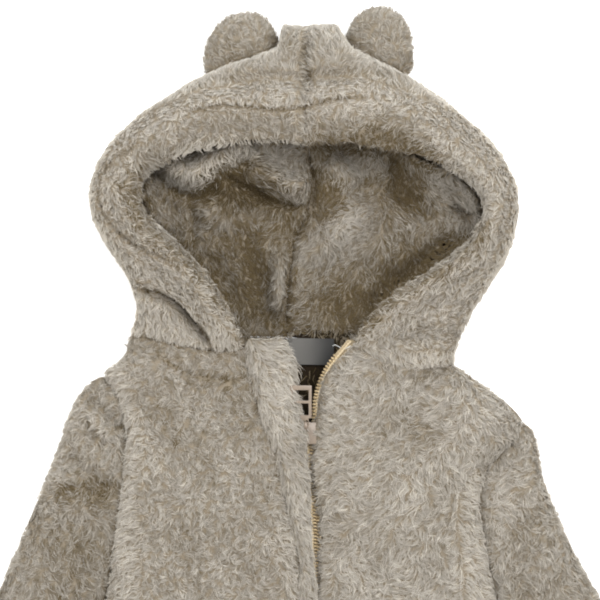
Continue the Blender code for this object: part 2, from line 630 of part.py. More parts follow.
def build_feet(paint, fronts, halves):
    """Builds an upper and a sole for each foot."""
    for side, sign in SIDES.items():
        grids = foot_grids(side, fronts[side][0], halves[side][0])
        for name, up, points in zip(("foot", "sole"), (1, -1), grids):
            normals = grid_normals(points, (0.0, 0.0, up))
            outward = points[:, (0, -1), 0].mean(axis=1)
            for number in range(len(points)):
                run = number / (len(points) - 1)
                for column in (0, -1):
                    way = math.copysign(1.0, points[number, column, 0] - outward[number])
                    normals[number, column] = unit((way * (1.15 - run), -run * run, 0.0))
            middle = points[-1, :, 0].mean()
            for column in range(points.shape[1]):
                lean = (points[-1, column, 0] - middle) / 40.0
                normals[-1, column] = unit((lean, -1.0, 0.0))
            flat = np.abs(points[:, :, 2] - FLOOR_Z) < 0.01
            normals[flat] = (0.0, 0.0, -1.0)
            if up > 0:
                normals[0, 1:-1] = fronts[side][1][-1, 1:-1]
                normals[0, (0, -1)] = fronts[side][1][-1, (0, -1)]
            else:
                normals[0] = halves[side][1][-1][::-1]
            add_wall(f"{name}_{side}", points, normals, np.full(points.shape[:2], WALL), paint)


# ---------------------------------------------------------------- sleeves

def armhole_ring(side, front, back):
    """The armhole's loop and normals, down the front and up the back."""
    first, last = ARM_ROWS[side]
    shift = np.array((SIDES[side] * ARMHOLE_GAP, 0.0, 0.0))
    points = [front[0][row, -1] for row in range(first, last + 1)]
    normals = [front[1][row, -1] for row in range(first, last + 1)]
    points[0] = (front[0][first, -1] + back[0][first, 0]) / 2
    points[-1] = (front[0][last, -1] + back[0][last, 0]) / 2
    for row in range(last - 1, first, -1):
        points.append(back[0][row, 0])
        normals.append(back[1][row, 0])
    return np.array(points) + shift, np.array(normals)


def sleeve_ring(row, half_count):
    """One ring of a sleeve, from its outer edge over the front and back."""
    outer = np.array(row[:2])
    inner = np.array(row[2:4])
    top = row[4]
    ring = []
    for step in range(2 * half_count):
        angle = math.pi * step / half_count
        share = (1 - math.cos(angle)) / 2
        across = abs(2 * share - 1)
        if step <= half_count:
            z = SEAM_Z + (top - SEAM_Z) * math.sqrt(max(0.0, 1 - across ** 2.6))
        else:
            over = max(0.0, (across - 0.7) / 0.3)
            z = FLOOR_Z + (SEAM_Z - FLOOR_Z) * (1 - math.sqrt(1 - over * over))
        ring.append((*(outer + (inner - outer) * share), z))
    return np.array(ring)


def build_sleeves(paint, fronts, halves):
    """Builds both sleeves from the armhole out to an open cuff."""
    for side in SIDES:
        ring, ring_normals = armhole_ring(side, fronts[side], halves[side])
        half_count = len(ring) // 2
        rings = [ring] + [sleeve_ring(row, half_count) for row in SLEEVE_ROWS[side]]
        points = np.array(rings)
        normals = grid_normals(points, points - points.mean(axis=1, keepdims=True), closed=True)
        flat = np.abs(points[:, :, 2] - FLOOR_Z) < 0.01
        normals[flat] = (0.0, 0.0, -1.0)
        normals[0] = ring_normals
        rows, columns = points.shape[:2]
        faces = []
        for row in range(rows - 1):
            for column in range(columns):
                a = row * columns + column
                b = row * columns + (column + 1) % columns
                faces.append((a, b, b + columns, a + columns))
        thickness = np.full((rows, columns), WALL)
        thickness[0] = ARMHOLE_WALL
        thickness[-1] = CUFF_WALL
        points[-1, :, 2] += (CUFF_WALL - WALL) / 2
        add_wall(f"sleeve_{side}", points, normals, thickness, paint, faces)


# ---------------------------------------------------------------- hood

def fold_height(x, y):
    """How far the folds lift the cloth inside the hood at a place."""
    lift = 0.0
    for x0, y0, x1, y1, height, spread in HOOD_FOLDS:
        length = (x1 - x0) ** 2 + (y1 - y0) ** 2
        share = min(1.0, max(0.0, ((x - x0) * (x1 - x0) + (y - y0) * (y1 - y0)) / length))
        distance = math.hypot(x - x0 - share * (x1 - x0), y - y0 - share * (y1 - y0))
        lift = max(lift, height * math.exp(-((distance / spread) ** 2)))
    return lift


def hood_row(row, sign, top_row):
    """Points of one row of a hood half, from its rim to the seam behind."""
    rim_x, rim_y, edge_x, edge_y, band, rim_z, crest_z, valley_z, puff_z, seam_y = row
    length = math.hypot(edge_x - rim_x, edge_y - rim_y)
    heights = [rim_z, crest_z, (crest_z + valley_z) / 2 + 1.0, valley_z]
    places = [share * band / length for share in ROLL_SHARES]
    for share in PUFF_SHARES:
        places.append((band + (length - band) * share) / length)
        if share <= 0.5:
            heights.append(valley_z + (puff_z - valley_z) * share * 2)
        else:
            over = (share - 0.5) * 2
            heights.append(SEAM_Z + (puff_z - SEAM_Z) * math.sqrt(1 - over * over))
    points = []
    for place, z in zip(places, heights):
        y = rim_y + (edge_y - rim_y) * place
        x = rim_x + (edge_x - rim_x) * place
        if top_row:
            x = along(CROWN_SEAM, y) + sign * SEAM_GAP / 2
        points.append((x, y, z))
    seam_x = along(BACK_SEAM, seam_y) + sign * SEAM_GAP / 2
    for share in BACK_SHARES[1:]:
        x = seam_x + (edge_x - seam_x) * share
        y = seam_y + (edge_y - seam_y) * share
        if top_row:
            x = along(BACK_SEAM, y) + sign * SEAM_GAP / 2
        z = FLOOR_Z + (SEAM_Z - FLOOR_Z) * (1 - quarter_fall(share))
        calm = min(1.0, max(0.0, (0.95 - share) / 0.3)) * min(1.0, (y - 8.0) / 25.0)
        points.append((x, y, z + calm * fold_height(x, y)))
    return points


def hood_grid(side):
    """Middle surface and normals of one half of the hood."""
    sign = SIDES[side]
    rows = [hood_row(row, sign, number == 0) for number, row in enumerate(HOOD_ROWS[side])]
    skipped = GUARD_COLUMNS if side == "right" else 0
    front = [(x, y, z) for x, y, z in NECK_FRONT[side][skipped:]]
    back = back_grid(side)[0][0]
    neck = front + [(x, y + SEAM_GAP / 2, z) for x, y, z in back[1:]]
    neck[-1] = (neck[-1][0] + sign * SEAM_GAP / 2, neck[-1][1], neck[-1][2])
    rows.append([(x, y + SEAM_GAP / 2, z) for x, y, z in neck])
    points = np.array(rows)
    edge = len(ROLL_SHARES) + len(PUFF_SHARES) - 1
    up_then_down = np.zeros_like(points)
    up_then_down[:, :edge, 2] = 1.0
    up_then_down[:, edge + 1:, 2] = -1.0
    normals = grid_normals(points, up_then_down)
    for column in range(points.shape[1]):
        low, high = max(0, column - 1), min(points.shape[1] - 1, column + 1)
        way = points[0, high] - points[0, low]
        normals[0, column] = unit((0.0, -way[2], way[1]))
    along_seam = np.gradient(points[:, -1], axis=0)
    for row in range(1, len(rows)):
        way = along_seam[row]
        normals[row, -1] = unit((0.0, -way[2], way[1]))
    normals[0, -1] = (0.0, 0.0, -1.0)
    normals[-1, :edge] = (0.0, 0.0, 1.0)
    normals[-1, edge] = (sign, 0.0, 0.0)
    normals[-1, edge - 1] = unit((sign * 0.7, 0.0, 0.7))
    normals[-1, edge - 2] = unit((sign * 0.4, 0.0, 0.9))
    normals[-1, edge + 1:] = (0.0, 0.0, -1.0)
    normals[-1, edge + 1] = unit((sign * 0.8, 0.0, -0.6))
    normals[-1, edge + 2] = unit((sign * 0.5, 0.0, -0.85))
    return points, normals


def build_hood(paint):
    """Builds the two halves of the hood with their turned and stitched rim."""
    for side in SIDES:
        points, normals = hood_grid(side)
        thickness = np.full(points.shape[:2], WALL)
        thickness[:, :len(HEM_THICKNESS)] = np.array(HEM_THICKNESS) * HEM_WALL
        thickness[-1, :len(HEM_THICKNESS)] = WALL
        add_wall(f"hood_{side}", points, normals, thickness, paint)


def resample(points, count):
    """Spreads a number of points evenly along a line of points."""
    points = np.asarray(points, float)
    steps = np.linalg.norm(np.diff(points, axis=0), axis=1)
    places = np.concatenate(((0.0,), np.cumsum(steps)))
    wanted = np.linspace(0.0, places[-1], count)
    return np.stack([np.interp(wanted, places, points[:, axis]) for axis in (0, 1)], axis=1)


def build_ears(paint):
    """Builds the ears, each a front and a back half sewn round the edge."""
    rows, columns = 6, 9
    for side, shape in EARS.items():
        base = resample(shape["base"], columns)
        way = unit(np.append(base[-1] - base[0], 0.0))
        base = base + np.array((-way[1], way[0])) * (WALL / 2 + EAR_CLEARANCE)
        outline = resample(shape["outline"], columns)
        points = np.zeros((rows, columns, 3))
        thickness = np.zeros((rows, columns))
        for row in range(rows):
            out = row / (rows - 1)
            for column in range(columns):
                across = abs(2 * column / (columns - 1) - 1)
                full = math.sqrt(max(0.0, 1 - across ** 3) * max(0.0, 1 - out ** 3))
                thickness[row, column] = EAR_EDGE + (EAR_HEIGHT - EAR_EDGE) * full
                points[row, column, :2] = base[column] + (outline[column] - base[column]) * out
        for half, up in (("front", 1), ("back", -1)):
            middle = points.copy()
            middle[:, :, 2] = SEAM_Z + 1.0 + up * (SEAM_GAP + thickness) / 2
            add_wall(f"ear_{side}_{half}", middle, upright(points), thickness, paint)


# ---------------------------------------------------------------- zip and label

def strip(stations, reach, z, thickness):
    """A flat strip along the zip as a grid, reaching to both sides of its places."""
    points = []
    for x, y in stations:
        points.append([(x + side, y, z) for side in reach])
    points = np.array(points)
    return points, upright(points), np.full(points.shape[:2], thickness)


def zip_stations(side):
    """Places along one half of the zip, from its top to its lower end."""
    sign = SIDES[side]
    stations = [(x, y) for y, x in ZIP_OPEN[side][:-1]]
    lower = [(x + sign * TEETH_PITCH, y) for y, x in ZIP_CLOSED[:-1]]
    end_y = ZIP_END_Y + ZIP_STOP
    lower.append((along(ZIP_CLOSED, end_y) + sign * TEETH_PITCH, end_y))
    return stations + lower


def build_zip(paints):
    """Builds the tapes under the fronts' edges and the rows of teeth on them."""
    teeth_width, teeth_height = TEETH_SIZE
    tape_width, tape_thickness = TAPE_SIZE
    under = ZIP_EDGE_Z - WALL / 2 - TAPE_CLEARANCE - tape_thickness / 2
    for side, sign in SIDES.items():
        stations = zip_stations(side)
        inner = -sign * teeth_width / 2
        outer = sign * (tape_width - teeth_width / 2)
        reach = sorted((inner, outer))
        points, normals, thickness = strip(stations, reach, under, tape_thickness)
        add_wall(f"zip_tape_{side}", points, normals, thickness, paints["tape"])
        seat = under + tape_thickness / 2 + SEAM_GAP + teeth_height / 2
        reach = (-teeth_width / 2, teeth_width / 2)
        points, normals, thickness = strip(stations, reach, seat, teeth_height)
        add_wall(f"zip_teeth_{side}", points, normals, thickness, paints["teeth"])


def build_guard(paint, fronts):
    """Builds the folded strip that lies over the zip's right half."""
    solid = fronts["right"][2]
    columns = GUARD_COLUMN_COUNT
    points = np.zeros((len(GUARD_ROWS), columns, 3))
    thickness = np.zeros((len(GUARD_ROWS), columns))
    for row, (y, left, right, height) in enumerate(GUARD_ROWS):
        for column in range(columns):
            share = column / (columns - 1)
            x = left + (right - left) * share
            neck_y = along([place[:2] for place in NECK_FRONT["right"]], x)
            under_y = min(y, neck_y - GUARD_NECK_INSET)
            edge_x = zip_edge_x("right", under_y) - GUARD_SEAT_INSET
            seat = height_over(solid, min(x, edge_x), under_y)
            while seat is None:
                edge_x -= GUARD_SEAT_INSET
                under_y -= GUARD_SEAT_INSET / 2
                seat = height_over(solid, min(x, edge_x), under_y)
            full = math.sqrt(max(0.0, 1 - abs(2 * share - 1) ** GUARD_SECTION))
            thickness[row, column] = GUARD_EDGE + (height - GUARD_EDGE) * full
            lift = GUARD_LIFT if row > 1 else GUARD_TOP_LIFT
            points[row, column] = (x, y, seat + lift + thickness[row, column] / 2)
    add_wall("zip_guard", points, upright(points), thickness, paint)


def build_label(paint):
    """Builds the bare size label, sewn in at the back of the neck."""
    width, length, thickness = LABEL_SIZE
    left, top = LABEL_CORNER
    points = np.zeros((3, 4, 3))
    for row in range(3):
        for column in range(4):
            x = left + width * column / 3
            y = top - length * row / 2 - LABEL_TILT * (x - left)
            points[row, column] = (x, y, WALL + LABEL_CLEARANCE + thickness / 2)
    add_wall("size_label", points, upright(points), np.full((3, 4), thickness), paint)


def cell_plate(xs, ys, holes, low, high):
    """A plate of cells between breaks in x and y, with some cells left open."""
    cells = {(i, j) for i in range(len(xs) - 1) for j in range(len(ys) - 1)} - set(holes)
    verts, numbers, faces = [], {}, []

    def corner(i, j, level):
        key = (i, j, level)
        if key not in numbers:
            numbers[key] = len(verts)
            verts.append((xs[i], ys[j], (low, high)[level]))
        return numbers[key]

    for i, j in sorted(cells):
        around = ((i, j), (i + 1, j), (i + 1, j + 1), (i, j + 1))
        faces.append(tuple(corner(*place, 1) for place in around))
        faces.append(tuple(corner(*place, 0) for place in reversed(around)))
        beside = ((i, j - 1), (i + 1, j), (i, j + 1), (i - 1, j))
        for (a, b), other in zip(zip(around, around[1:] + around[:1]), beside):
            if other not in cells:
                faces.append((corner(*a, 0), corner(*b, 0), corner(*b, 1), corner(*a, 1)))
    return verts, faces


def box_part(centre, size):
    """Corners and faces of a box."""
    x, y, z = centre
    a, b, c = (value / 2 for value in size)
    return cell_plate((x - a, x + a), (y - b, y + b), (), z - c, z + c)


def build_slider(paint):
    """Builds the slider: a waist between the teeth's edges, a plate, a bridge."""
    plate_x, plate_y, plate_z = SLIDER_PLATE
    top = HINGE_Z - PLATE_DROP
    parts = [box_part((SLIDER_X, SLIDER_Y, top - plate_z / 2), (plate_x, plate_y, plate_z))]
    low = ZIP_EDGE_Z - WALL / 2 + TEETH_SIZE[1] + SLIDER_CLEARANCE
    waist_x, waist_y = SLIDER_NECK
    middle = (low + top - plate_z / 2) / 2
    waist_z = top - plate_z / 2 - low
    parts.append(box_part((SLIDER_X, SLIDER_Y - 1.0, middle), (waist_x, waist_y, waist_z)))
    bridge_verts, bridge_faces = [], []
    steps = 10
    for number in range(steps + 1):
        angle = math.pi * number / steps
        for radius in (BRIDGE_INNER, BRIDGE_OUTER):
            for x in (-BRIDGE_WIDTH / 2, BRIDGE_WIDTH / 2):
                y = HINGE_Y + radius * math.cos(angle)
                z = HINGE_Z + radius * math.sin(angle)
                if number in (0, steps):
                    z = top - BRIDGE_SINK
                bridge_verts.append((pull_x() + x, y, z))
    for number in range(steps):
        a = number * 4
        b = a + 4
        loops = ((0, 1), (1, 3), (3, 2), (2, 0))
        for p, q in loops:
            bridge_faces.append((a + p, a + q, b + q, b + p))
    last = steps * 4
    bridge_faces.append((1, 0, 2, 3))
    bridge_faces.append((last, last + 1, last + 3, last + 2))
    parts.append((bridge_verts, bridge_faces))
    names = ("zip_slider", "slider_waist", "slider_bridge")
    items = [add_piece(name, verts, faces, paint) for name, (verts, faces) in zip(names, parts)]
    for item in items[1:]:
        union = items[0].modifiers.new(item.name, "BOOLEAN")
        union.operation = "UNION"
        union.object = item
        item.hide_render = True
        item.display_type = "WIRE"
    return items[0]


def pull_x():
    """x of the middle of the pull tab's eye."""
    return SLIDER_X - PULL_OFFSET


def build_pull(paint):
    """Builds the pull tab: a frame with two windows and an eye at its bar."""
    x = pull_x()
    play, arm, slot_end = PULL_EYE
    eye = BRIDGE_WIDTH / 2 + play
    left, right = PULL_SIDES[1:3]
    neck, low, below, above, high = PULL_BARS[:5]
    xs = sorted({*PULL_SIDES, -eye - arm, -eye, eye, eye + play})
    ys = (-BAR_RADIUS, BAR_RADIUS, slot_end, *PULL_BARS)
    holes = set()
    for i in range(len(xs) - 1):
        middle = (xs[i] + xs[i + 1]) / 2
        for j in range(len(ys) - 1):
            y = (ys[j] + ys[j + 1]) / 2
            if abs(middle) < eye and BAR_RADIUS < y < slot_end:
                holes.add((i, j))
            if abs(middle) > eye + arm and y < neck:
                holes.add((i, j))
            if left < middle < right and (low < y < below or above < y < high):
                holes.add((i, j))
    verts, faces = cell_plate(xs, ys, holes, -PULL_THICKNESS / 2, PULL_THICKNESS / 2)
    cos, sin = math.cos(PULL_TILT), math.sin(PULL_TILT)
    placed = [(x + a, HINGE_Y + b * cos - c * sin, HINGE_Z + b * sin + c * cos) for a, b, c in verts]
    hinge = (x, HINGE_Y, HINGE_Z)
    return add_piece("zip_pull", placed, faces, paint, origin=hinge)


def centre_on_origin():
    """Moves the whole suit so that its middle in plan is at the origin."""
    bpy.context.view_layer.update()
    corners = []
    for item in bpy.data.objects:
        if item.type == "MESH" and not item.hide_render:
            corners += [item.matrix_world @ vertex.co for vertex in item.data.vertices]
    low = [min(corner[axis] for corner in corners) for axis in range(3)]
    high = [max(corner[axis] for corner in corners) for axis in range(3)]
    shift = Vector((-(low[0] + high[0]) / 2, -(low[1] + high[1]) / 2, -low[2]))
    for item in bpy.data.objects:
        item.location += shift


def main():
    """Builds the whole suit."""
    clear_scene()
    fleece = material("teddy fleece", FLEECE, 0.95)
    paints = {
        "label": material("label satin", LABEL_WHITE, 0.6),
        "tape": material("zip tape", TAPE_CREAM, 0.85),
        "teeth": material("zip teeth", TEETH_GOLD, 0.35, 0.3),
        "enamel": material("enamelled metal", ENAMEL, 0.4, 0.2),
    }
    fronts = build_fronts(fleece)
    halves = build_back(fleece)
    build_hood(fleece)
    build_ears(fleece)
    build_sleeves(fleece, fronts, halves)
    build_feet(fleece, fronts, halves)
    build_zip(paints)
    build_guard(fleece, fronts)
    build_label(paints["label"])
    build_slider(paints["enamel"])
    build_pull(paints["enamel"])
    centre_on_origin()


main()
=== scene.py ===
"""Looks of a footed sleepsuit in teddy fleece, laid open on its back.

Every cloth panel is a thin shell of knitted ground on its solid's form, with
its creases pressed in, and carries a pile of small tapered tufts.  The
zip, its enamelled slider and tab, the rim's stitching and the size label are
pieces of their own.  Sizes along the pattern are in millimetres from the neck,
+X to the wearer's left, +Y towards the hood and +Z up from the floor.
"""

import logging
import math
from dataclasses import dataclass, field, replace
from enum import Enum
from typing import Any, Sequence

import bpy
import numpy as np
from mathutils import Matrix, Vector
from mathutils.bvhtree import BVHTree
from mathutils.kdtree import KDTree

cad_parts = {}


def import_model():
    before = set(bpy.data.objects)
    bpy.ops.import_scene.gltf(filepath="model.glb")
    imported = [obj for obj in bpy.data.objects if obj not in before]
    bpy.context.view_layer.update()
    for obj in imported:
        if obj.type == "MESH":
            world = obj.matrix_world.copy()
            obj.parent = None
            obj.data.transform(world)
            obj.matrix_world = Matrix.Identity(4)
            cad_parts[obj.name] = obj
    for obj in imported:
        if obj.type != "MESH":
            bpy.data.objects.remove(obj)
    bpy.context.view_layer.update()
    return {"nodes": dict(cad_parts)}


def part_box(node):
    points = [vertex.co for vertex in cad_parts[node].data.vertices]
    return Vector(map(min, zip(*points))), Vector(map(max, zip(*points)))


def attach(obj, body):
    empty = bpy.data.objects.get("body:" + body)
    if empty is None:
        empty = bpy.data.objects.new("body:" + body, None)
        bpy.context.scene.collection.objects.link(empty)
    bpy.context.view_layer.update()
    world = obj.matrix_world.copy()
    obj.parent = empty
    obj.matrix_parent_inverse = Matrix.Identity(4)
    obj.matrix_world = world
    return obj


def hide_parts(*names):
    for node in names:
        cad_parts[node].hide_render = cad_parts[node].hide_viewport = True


MM = 0.001
SUIT = "suit"
PULL = "pull"
BAKE_UV = "OFBake"
LABEL_CORNER = (-8.6, 7.0)      # the label's upper corner on the pattern
PILE_BUDGET = 226_000           # tufts on the whole suit
PANEL_LIMIT = 64_000            # tufts on one panel

Line = tuple[tuple[float, float], ...]
Colour = tuple[float, float, float]

log = logging.getLogger("sleepsuit")


class Hold(Enum):
    """How a sheet of cloth is held."""

    LAID = "laid"
    FOLDED = "folded"


class Slot(Enum):
    """The record's finishes."""

    FLEECE = "fleece"
    LABEL = "label"
    TAPE = "zip_tape"
    TEETH = "zip_teeth"
    METAL = "zip_metal"


# --------------------------------------------------------------- shader maths

class Value:
    """A socket in a material, with arithmetic that adds Math nodes."""

    def __init__(self, tree: "Tree", socket: Any) -> None:
        """Wraps one output socket of a tree."""
        self.tree = tree
        self.socket = socket

    def maths(self, operation: str, *terms: Any) -> "Value":
        """Adds a Math node.

        Args:
            operation: the Math node's operation.
            terms: its inputs, as values or numbers.

        Returns:
            The node's result.
        """
        return self.tree.node("ShaderNodeMath", {"operation": operation}, dict(enumerate(terms)))

    def __add__(self, other: Any) -> "Value":
        """Sum."""
        return self.maths("ADD", self, other)

    def __radd__(self, other: Any) -> "Value":
        """Sum with a number first."""
        return self.maths("ADD", other, self)

    def __sub__(self, other: Any) -> "Value":
        """Difference."""
        return self.maths("SUBTRACT", self, other)

    def __rsub__(self, other: Any) -> "Value":
        """Difference from a number."""
        return self.maths("SUBTRACT", other, self)

    def __mul__(self, other: Any) -> "Value":
        """Product."""
        return self.maths("MULTIPLY", self, other)

    def __rmul__(self, other: Any) -> "Value":
        """Product with a number first."""
        return self.maths("MULTIPLY", other, self)

    def wave(self) -> "Value":
        """Sine of the value."""
        return self.maths("SINE", self)


class Tree:
    """The node tree of one material."""

    def __init__(self, name: str) -> None:
        """Starts an empty material of that name."""
        self.material = bpy.data.materials.new(name)
        self.material.use_nodes = True
        self.nodes = self.material.node_tree.nodes
        self.links = self.material.node_tree.links
        self.nodes.clear()

    def node(self, kind: str, settings: dict[str, Any] | None = None,
             inputs: dict[Any, Any] | None = None, output: Any = 0) -> Value:
        """Adds one node.

        Args:
            kind: the node's type.
            settings: its own settings, set first.
            inputs: numbers, colours or values for its sockets, by name or place.
            output: which of its outputs to hand back.

        Returns:
            That output.
        """
        made = self.nodes.new(kind)
        for name, setting in (settings or {}).items():
            setattr(made, name, setting)
        for name, given in (inputs or {}).items():
            if isinstance(given, Value):
                self.links.new(given.socket, made.inputs[name])
            else:
                made.inputs[name].default_value = given
        return Value(self, made.outputs[output])

    def blend(self, share: Any, first: Any, second: Any, how: str = "MIX") -> Value:
        """Mixes two colours by a share."""
        pair = [tone if isinstance(tone, Value) else (*tone, 1.0) for tone in (first, second)]
        return self.node("ShaderNodeMix", {"data_type": "RGBA", "blend_type": how},
                         {0: share, 6: pair[0], 7: pair[1]}, 2)

    def scaled(self, colour: Value, amount: Value) -> Value:
        """Brightens or darkens a colour by an amount."""
        return self.node("ShaderNodeVectorMath", {"operation": "SCALE"},
                         {0: colour, "Scale": amount})

    def span(self, value: Value, low: float, high: float) -> Value:
        """Stretches the values between low and high to 0 to 1, softly."""
        return self.node("ShaderNodeMapRange", {"interpolation_type": "SMOOTHSTEP"},
                         {"Value": value, "From Min": low, "From Max": high})

    def place(self) -> Value:
        """Object coordinates."""
        return self.node("ShaderNodeTexCoord", output="Object")

    def noise(self, place: Value, scale: float, detail: float = 2.0) -> Value:
        """Noise of that many cells to the metre."""
        return self.node("ShaderNodeTexNoise", {}, {"Vector": place, "Scale": scale,
                                                    "Detail": detail})

    def bump(self, height: Value, strength: float, distance: float) -> Value:
        """A bumped normal."""
        return self.node("ShaderNodeBump", {}, {"Height": height, "Strength": strength,
                                                "Distance": distance})

    def finish(self, **sockets: Any) -> bpy.types.Material:
        """Ends in a Principled shader.

        Args:
            sockets: values for its inputs, with _ for a blank in the name.

        Returns:
            The material.
        """
        given = {name.replace("_", " "): value for name, value in sockets.items()}
        shader = self.node("ShaderNodeBsdfPrincipled", {}, given)
        self.node_out(shader)
        return self.material

    def node_out(self, shader: Value) -> None:
        """Joins a shader to the material's output."""
        out = self.nodes.new("ShaderNodeOutputMaterial")
        self.links.new(shader.socket, out.inputs["Surface"])


@dataclass(frozen=True)
class Finish:
    """What every finish has: a name and how rough it is."""

    name: str
    roughness: float


@dataclass(frozen=True)
class PileFinish(Finish):
    """Tufts of teddy pile, dark at the root and pale at the tip."""

    root: Colour
    middle: Colour
    tip: Colour
    shade_colour: Colour                # painted shade colour that the lowest tones turn to

    DARKEST = 0.58              # share of the light that the darkest tone gives back
    SPREAD = 0.84               # how much brighter each step of tone is
    GLEAM = 0.30                # how much brighter the palest tones are: painted light on edges and lit folds, and the palest single hairs
    HIDDEN = 0.08               # share of the light left at no tone at all, for painted shadow

    def material(self) -> bpy.types.Material:
        """Colours a tuft by the way along it and by its tone, which paints light and shade besides the
        pile's own changes.
        """
        tree = Tree(self.name)
        place = tree.node("ShaderNodeUVMap", {"uv_map": BAKE_UV})
        tone = tree.node("ShaderNodeSeparateXYZ", {}, {0: place})
        way = Value(tree, tone.socket.node.outputs[1])
        lower = tree.blend(tree.span(way, 0.0, 0.55), self.root, self.middle)
        colour = tree.blend(tree.span(way, 0.35, 1.0), lower, self.tip)
        # low tones turn brown and dark with painted shade, high tones pale with painted light
        shade_mixed = tree.blend(tree.span(tone, 0.60, 0.02), colour, self.shade_colour)
        bright = self.DARKEST + self.SPREAD * tone + self.GLEAM * tree.span(tone, 0.78, 1.0)
        lit = self.HIDDEN + (1.0 - self.HIDDEN) * tree.span(tone, 0.0, 0.10)
        shaded = tree.scaled(shade_mixed, bright * lit)
        return tree.finish(Base_Color=shaded, Roughness=self.roughness,
                           Specular_IOR_Level=0.15)


@dataclass(frozen=True)
class GroundFinish(Finish):
    """The knitted ground under the pile, seen only in the partings."""

    dark: Colour
    light: Colour

    LOW = (0.325, 0.292, 0.238)     # where the pile covers it less
    LOW_HEIGHTS = (0.026, 0.008)    # between which it turns to that, in metres

    def material(self) -> bpy.types.Material:
        """Mottles the ground and roughens it with short fibre."""
        tree = Tree(self.name)
        place = tree.place()
        mottle = tree.span(tree.noise(place, 260.0, 4.0), 0.35, 0.7)
        fibre = tree.noise(place, 1300.0, 3.0)
        colour = self.shaded(tree, place, tree.blend(mottle, self.dark, self.light))
        return tree.finish(Base_Color=colour, Roughness=self.roughness,
                           Specular_IOR_Level=0.1,
                           Normal=tree.bump(fibre + mottle, 0.8, 0.0008))

    def shaded(self, tree: Tree, place: Value, colour: Value) -> Value:
        """Lightens the ground low on the suit, where the pile covers it less."""
        height = tree.node("ShaderNodeVectorMath", {"operation": "DOT_PRODUCT"},
                           {0: place, 1: (0.0, 1.0, 0.0)}, "Value")
        return tree.blend(tree.span(height, *self.LOW_HEIGHTS), colour, self.LOW)


@dataclass(frozen=True)
class NeckGroundFinish(GroundFinish):
    """The back's ground, darkened with painted shadow inside the neck."""

    centre: Colour              # of the neck, in metres
    near: float
    far: float
    # the painted shadow colour inside the neck
    inside: Colour

    def shaded(self, tree: Tree, place: Value, colour: Value) -> Value:
        """Darkens the ground round the neck's middle with painted shadow."""
        away = tree.node("ShaderNodeVectorMath", {"operation": "DISTANCE"},
                         {0: place, 1: self.centre}, "Value")
        outside = super().shaded(tree, place, colour)
        return tree.blend(tree.span(away, self.near, self.far), self.inside, outside)


@dataclass(frozen=True)
class EnamelFinish(Finish):
    """Baked enamel on the slider and its tab."""

    colour: Colour
    worn: Colour

    def material(self) -> bpy.types.Material:
        """Gives the enamel a faint mottle and a soft gloss."""
        tree = Tree(self.name)
        place = tree.place()
        cloudy = tree.span(tree.noise(place, 420.0, 3.0), 0.35, 0.75)
        fine = tree.noise(place, 2600.0, 2.0)
        return tree.finish(Base_Color=tree.blend(cloudy, self.colour, self.worn),
                           Roughness=self.roughness + 0.12 * cloudy, Coat_Weight=0.35,
                           Coat_Roughness=0.2, Normal=tree.bump(fine, 0.15, 0.0001))


@dataclass(frozen=True)
class TeethFinish(Finish):
    """Gold coloured teeth with mottled plating."""

    colour: Colour
    shade: Colour

    def material(self) -> bpy.types.Material:
        """Mottles the plating from tooth to tooth."""
        tree = Tree(self.name)
        place = tree.place()
        patch = tree.span(tree.noise(place, 700.0, 2.0), 0.3, 0.7)
        return tree.finish(Base_Color=tree.blend(patch, self.shade, self.colour),
                           Metallic=0.55, Roughness=self.roughness + 0.15 * patch)


@dataclass(frozen=True)
class WovenFinish(Finish):
    """A plain weave of fine threads."""

    colour: Colour
    shade: Colour
    threads: float

    def material(self) -> bpy.types.Material:
        """Crosses two sets of threads into a weave."""
        tree = Tree(self.name)
        parts = tree.node("ShaderNodeSeparateXYZ", {}, {0: tree.place()})
        across = parts
        along = Value(tree, parts.socket.node.outputs[1])
        turn = 2.0 * math.pi * self.threads
        weave = (across * turn).wave() * (along * turn).wave() * 0.5 + 0.5
        slub = tree.noise(tree.place(), 900.0, 2.0)
        colour = tree.blend(weave * 0.6 + slub * 0.4, self.shade, self.colour)
        return tree.finish(Base_Color=self.with_painted_shadow(tree, across, colour),
                           Roughness=self.roughness, Normal=tree.bump(weave, 0.5, 0.0002))

    def with_painted_shadow(self, tree: Tree, across: Value, colour: Value) -> Value:
        """Leaves a plain weave as it is, with no painted shadow."""
        return colour


@dataclass(frozen=True)
class LabelFinish(WovenFinish):
    """The label's satin, with a painted shadow that darkens it towards its wearer's left end."""

    shadow_from: float = -0.006
    shadow_to: float = 0.017

    def with_painted_shadow(self, tree: Tree, across: Value, colour: Value) -> Value:
        """Darkens the weave along the label with a painted shadow."""
        return tree.scaled(colour, 1.0 - 0.88 * tree.span(across, self.shadow_from, self.shadow_to))


@dataclass(frozen=True)
class FloorFinish(Finish):
    """The pale floor, lit from beneath."""

    colour: Colour
    glow: float

    def material(self) -> bpy.types.Material:
        """A plain matt white."""
        return Tree(self.name).finish(Base_Color=(*self.colour, 1.0), Roughness=self.roughness,
                                      Specular_IOR_Level=0.0, Emission_Color=(*self.colour, 1.0),
                                      Emission_Strength=self.glow)


# the last colour is the painted shade that the lowest tones turn to
PILE = PileFinish("teddy_pile", 0.95, (0.297, 0.262, 0.210), (0.312, 0.283, 0.238),
                  (0.330, 0.304, 0.265), (0.152, 0.108, 0.050))
GROUND = GroundFinish("fleece_ground", 0.95, (0.240, 0.196, 0.138), (0.270, 0.228, 0.170))
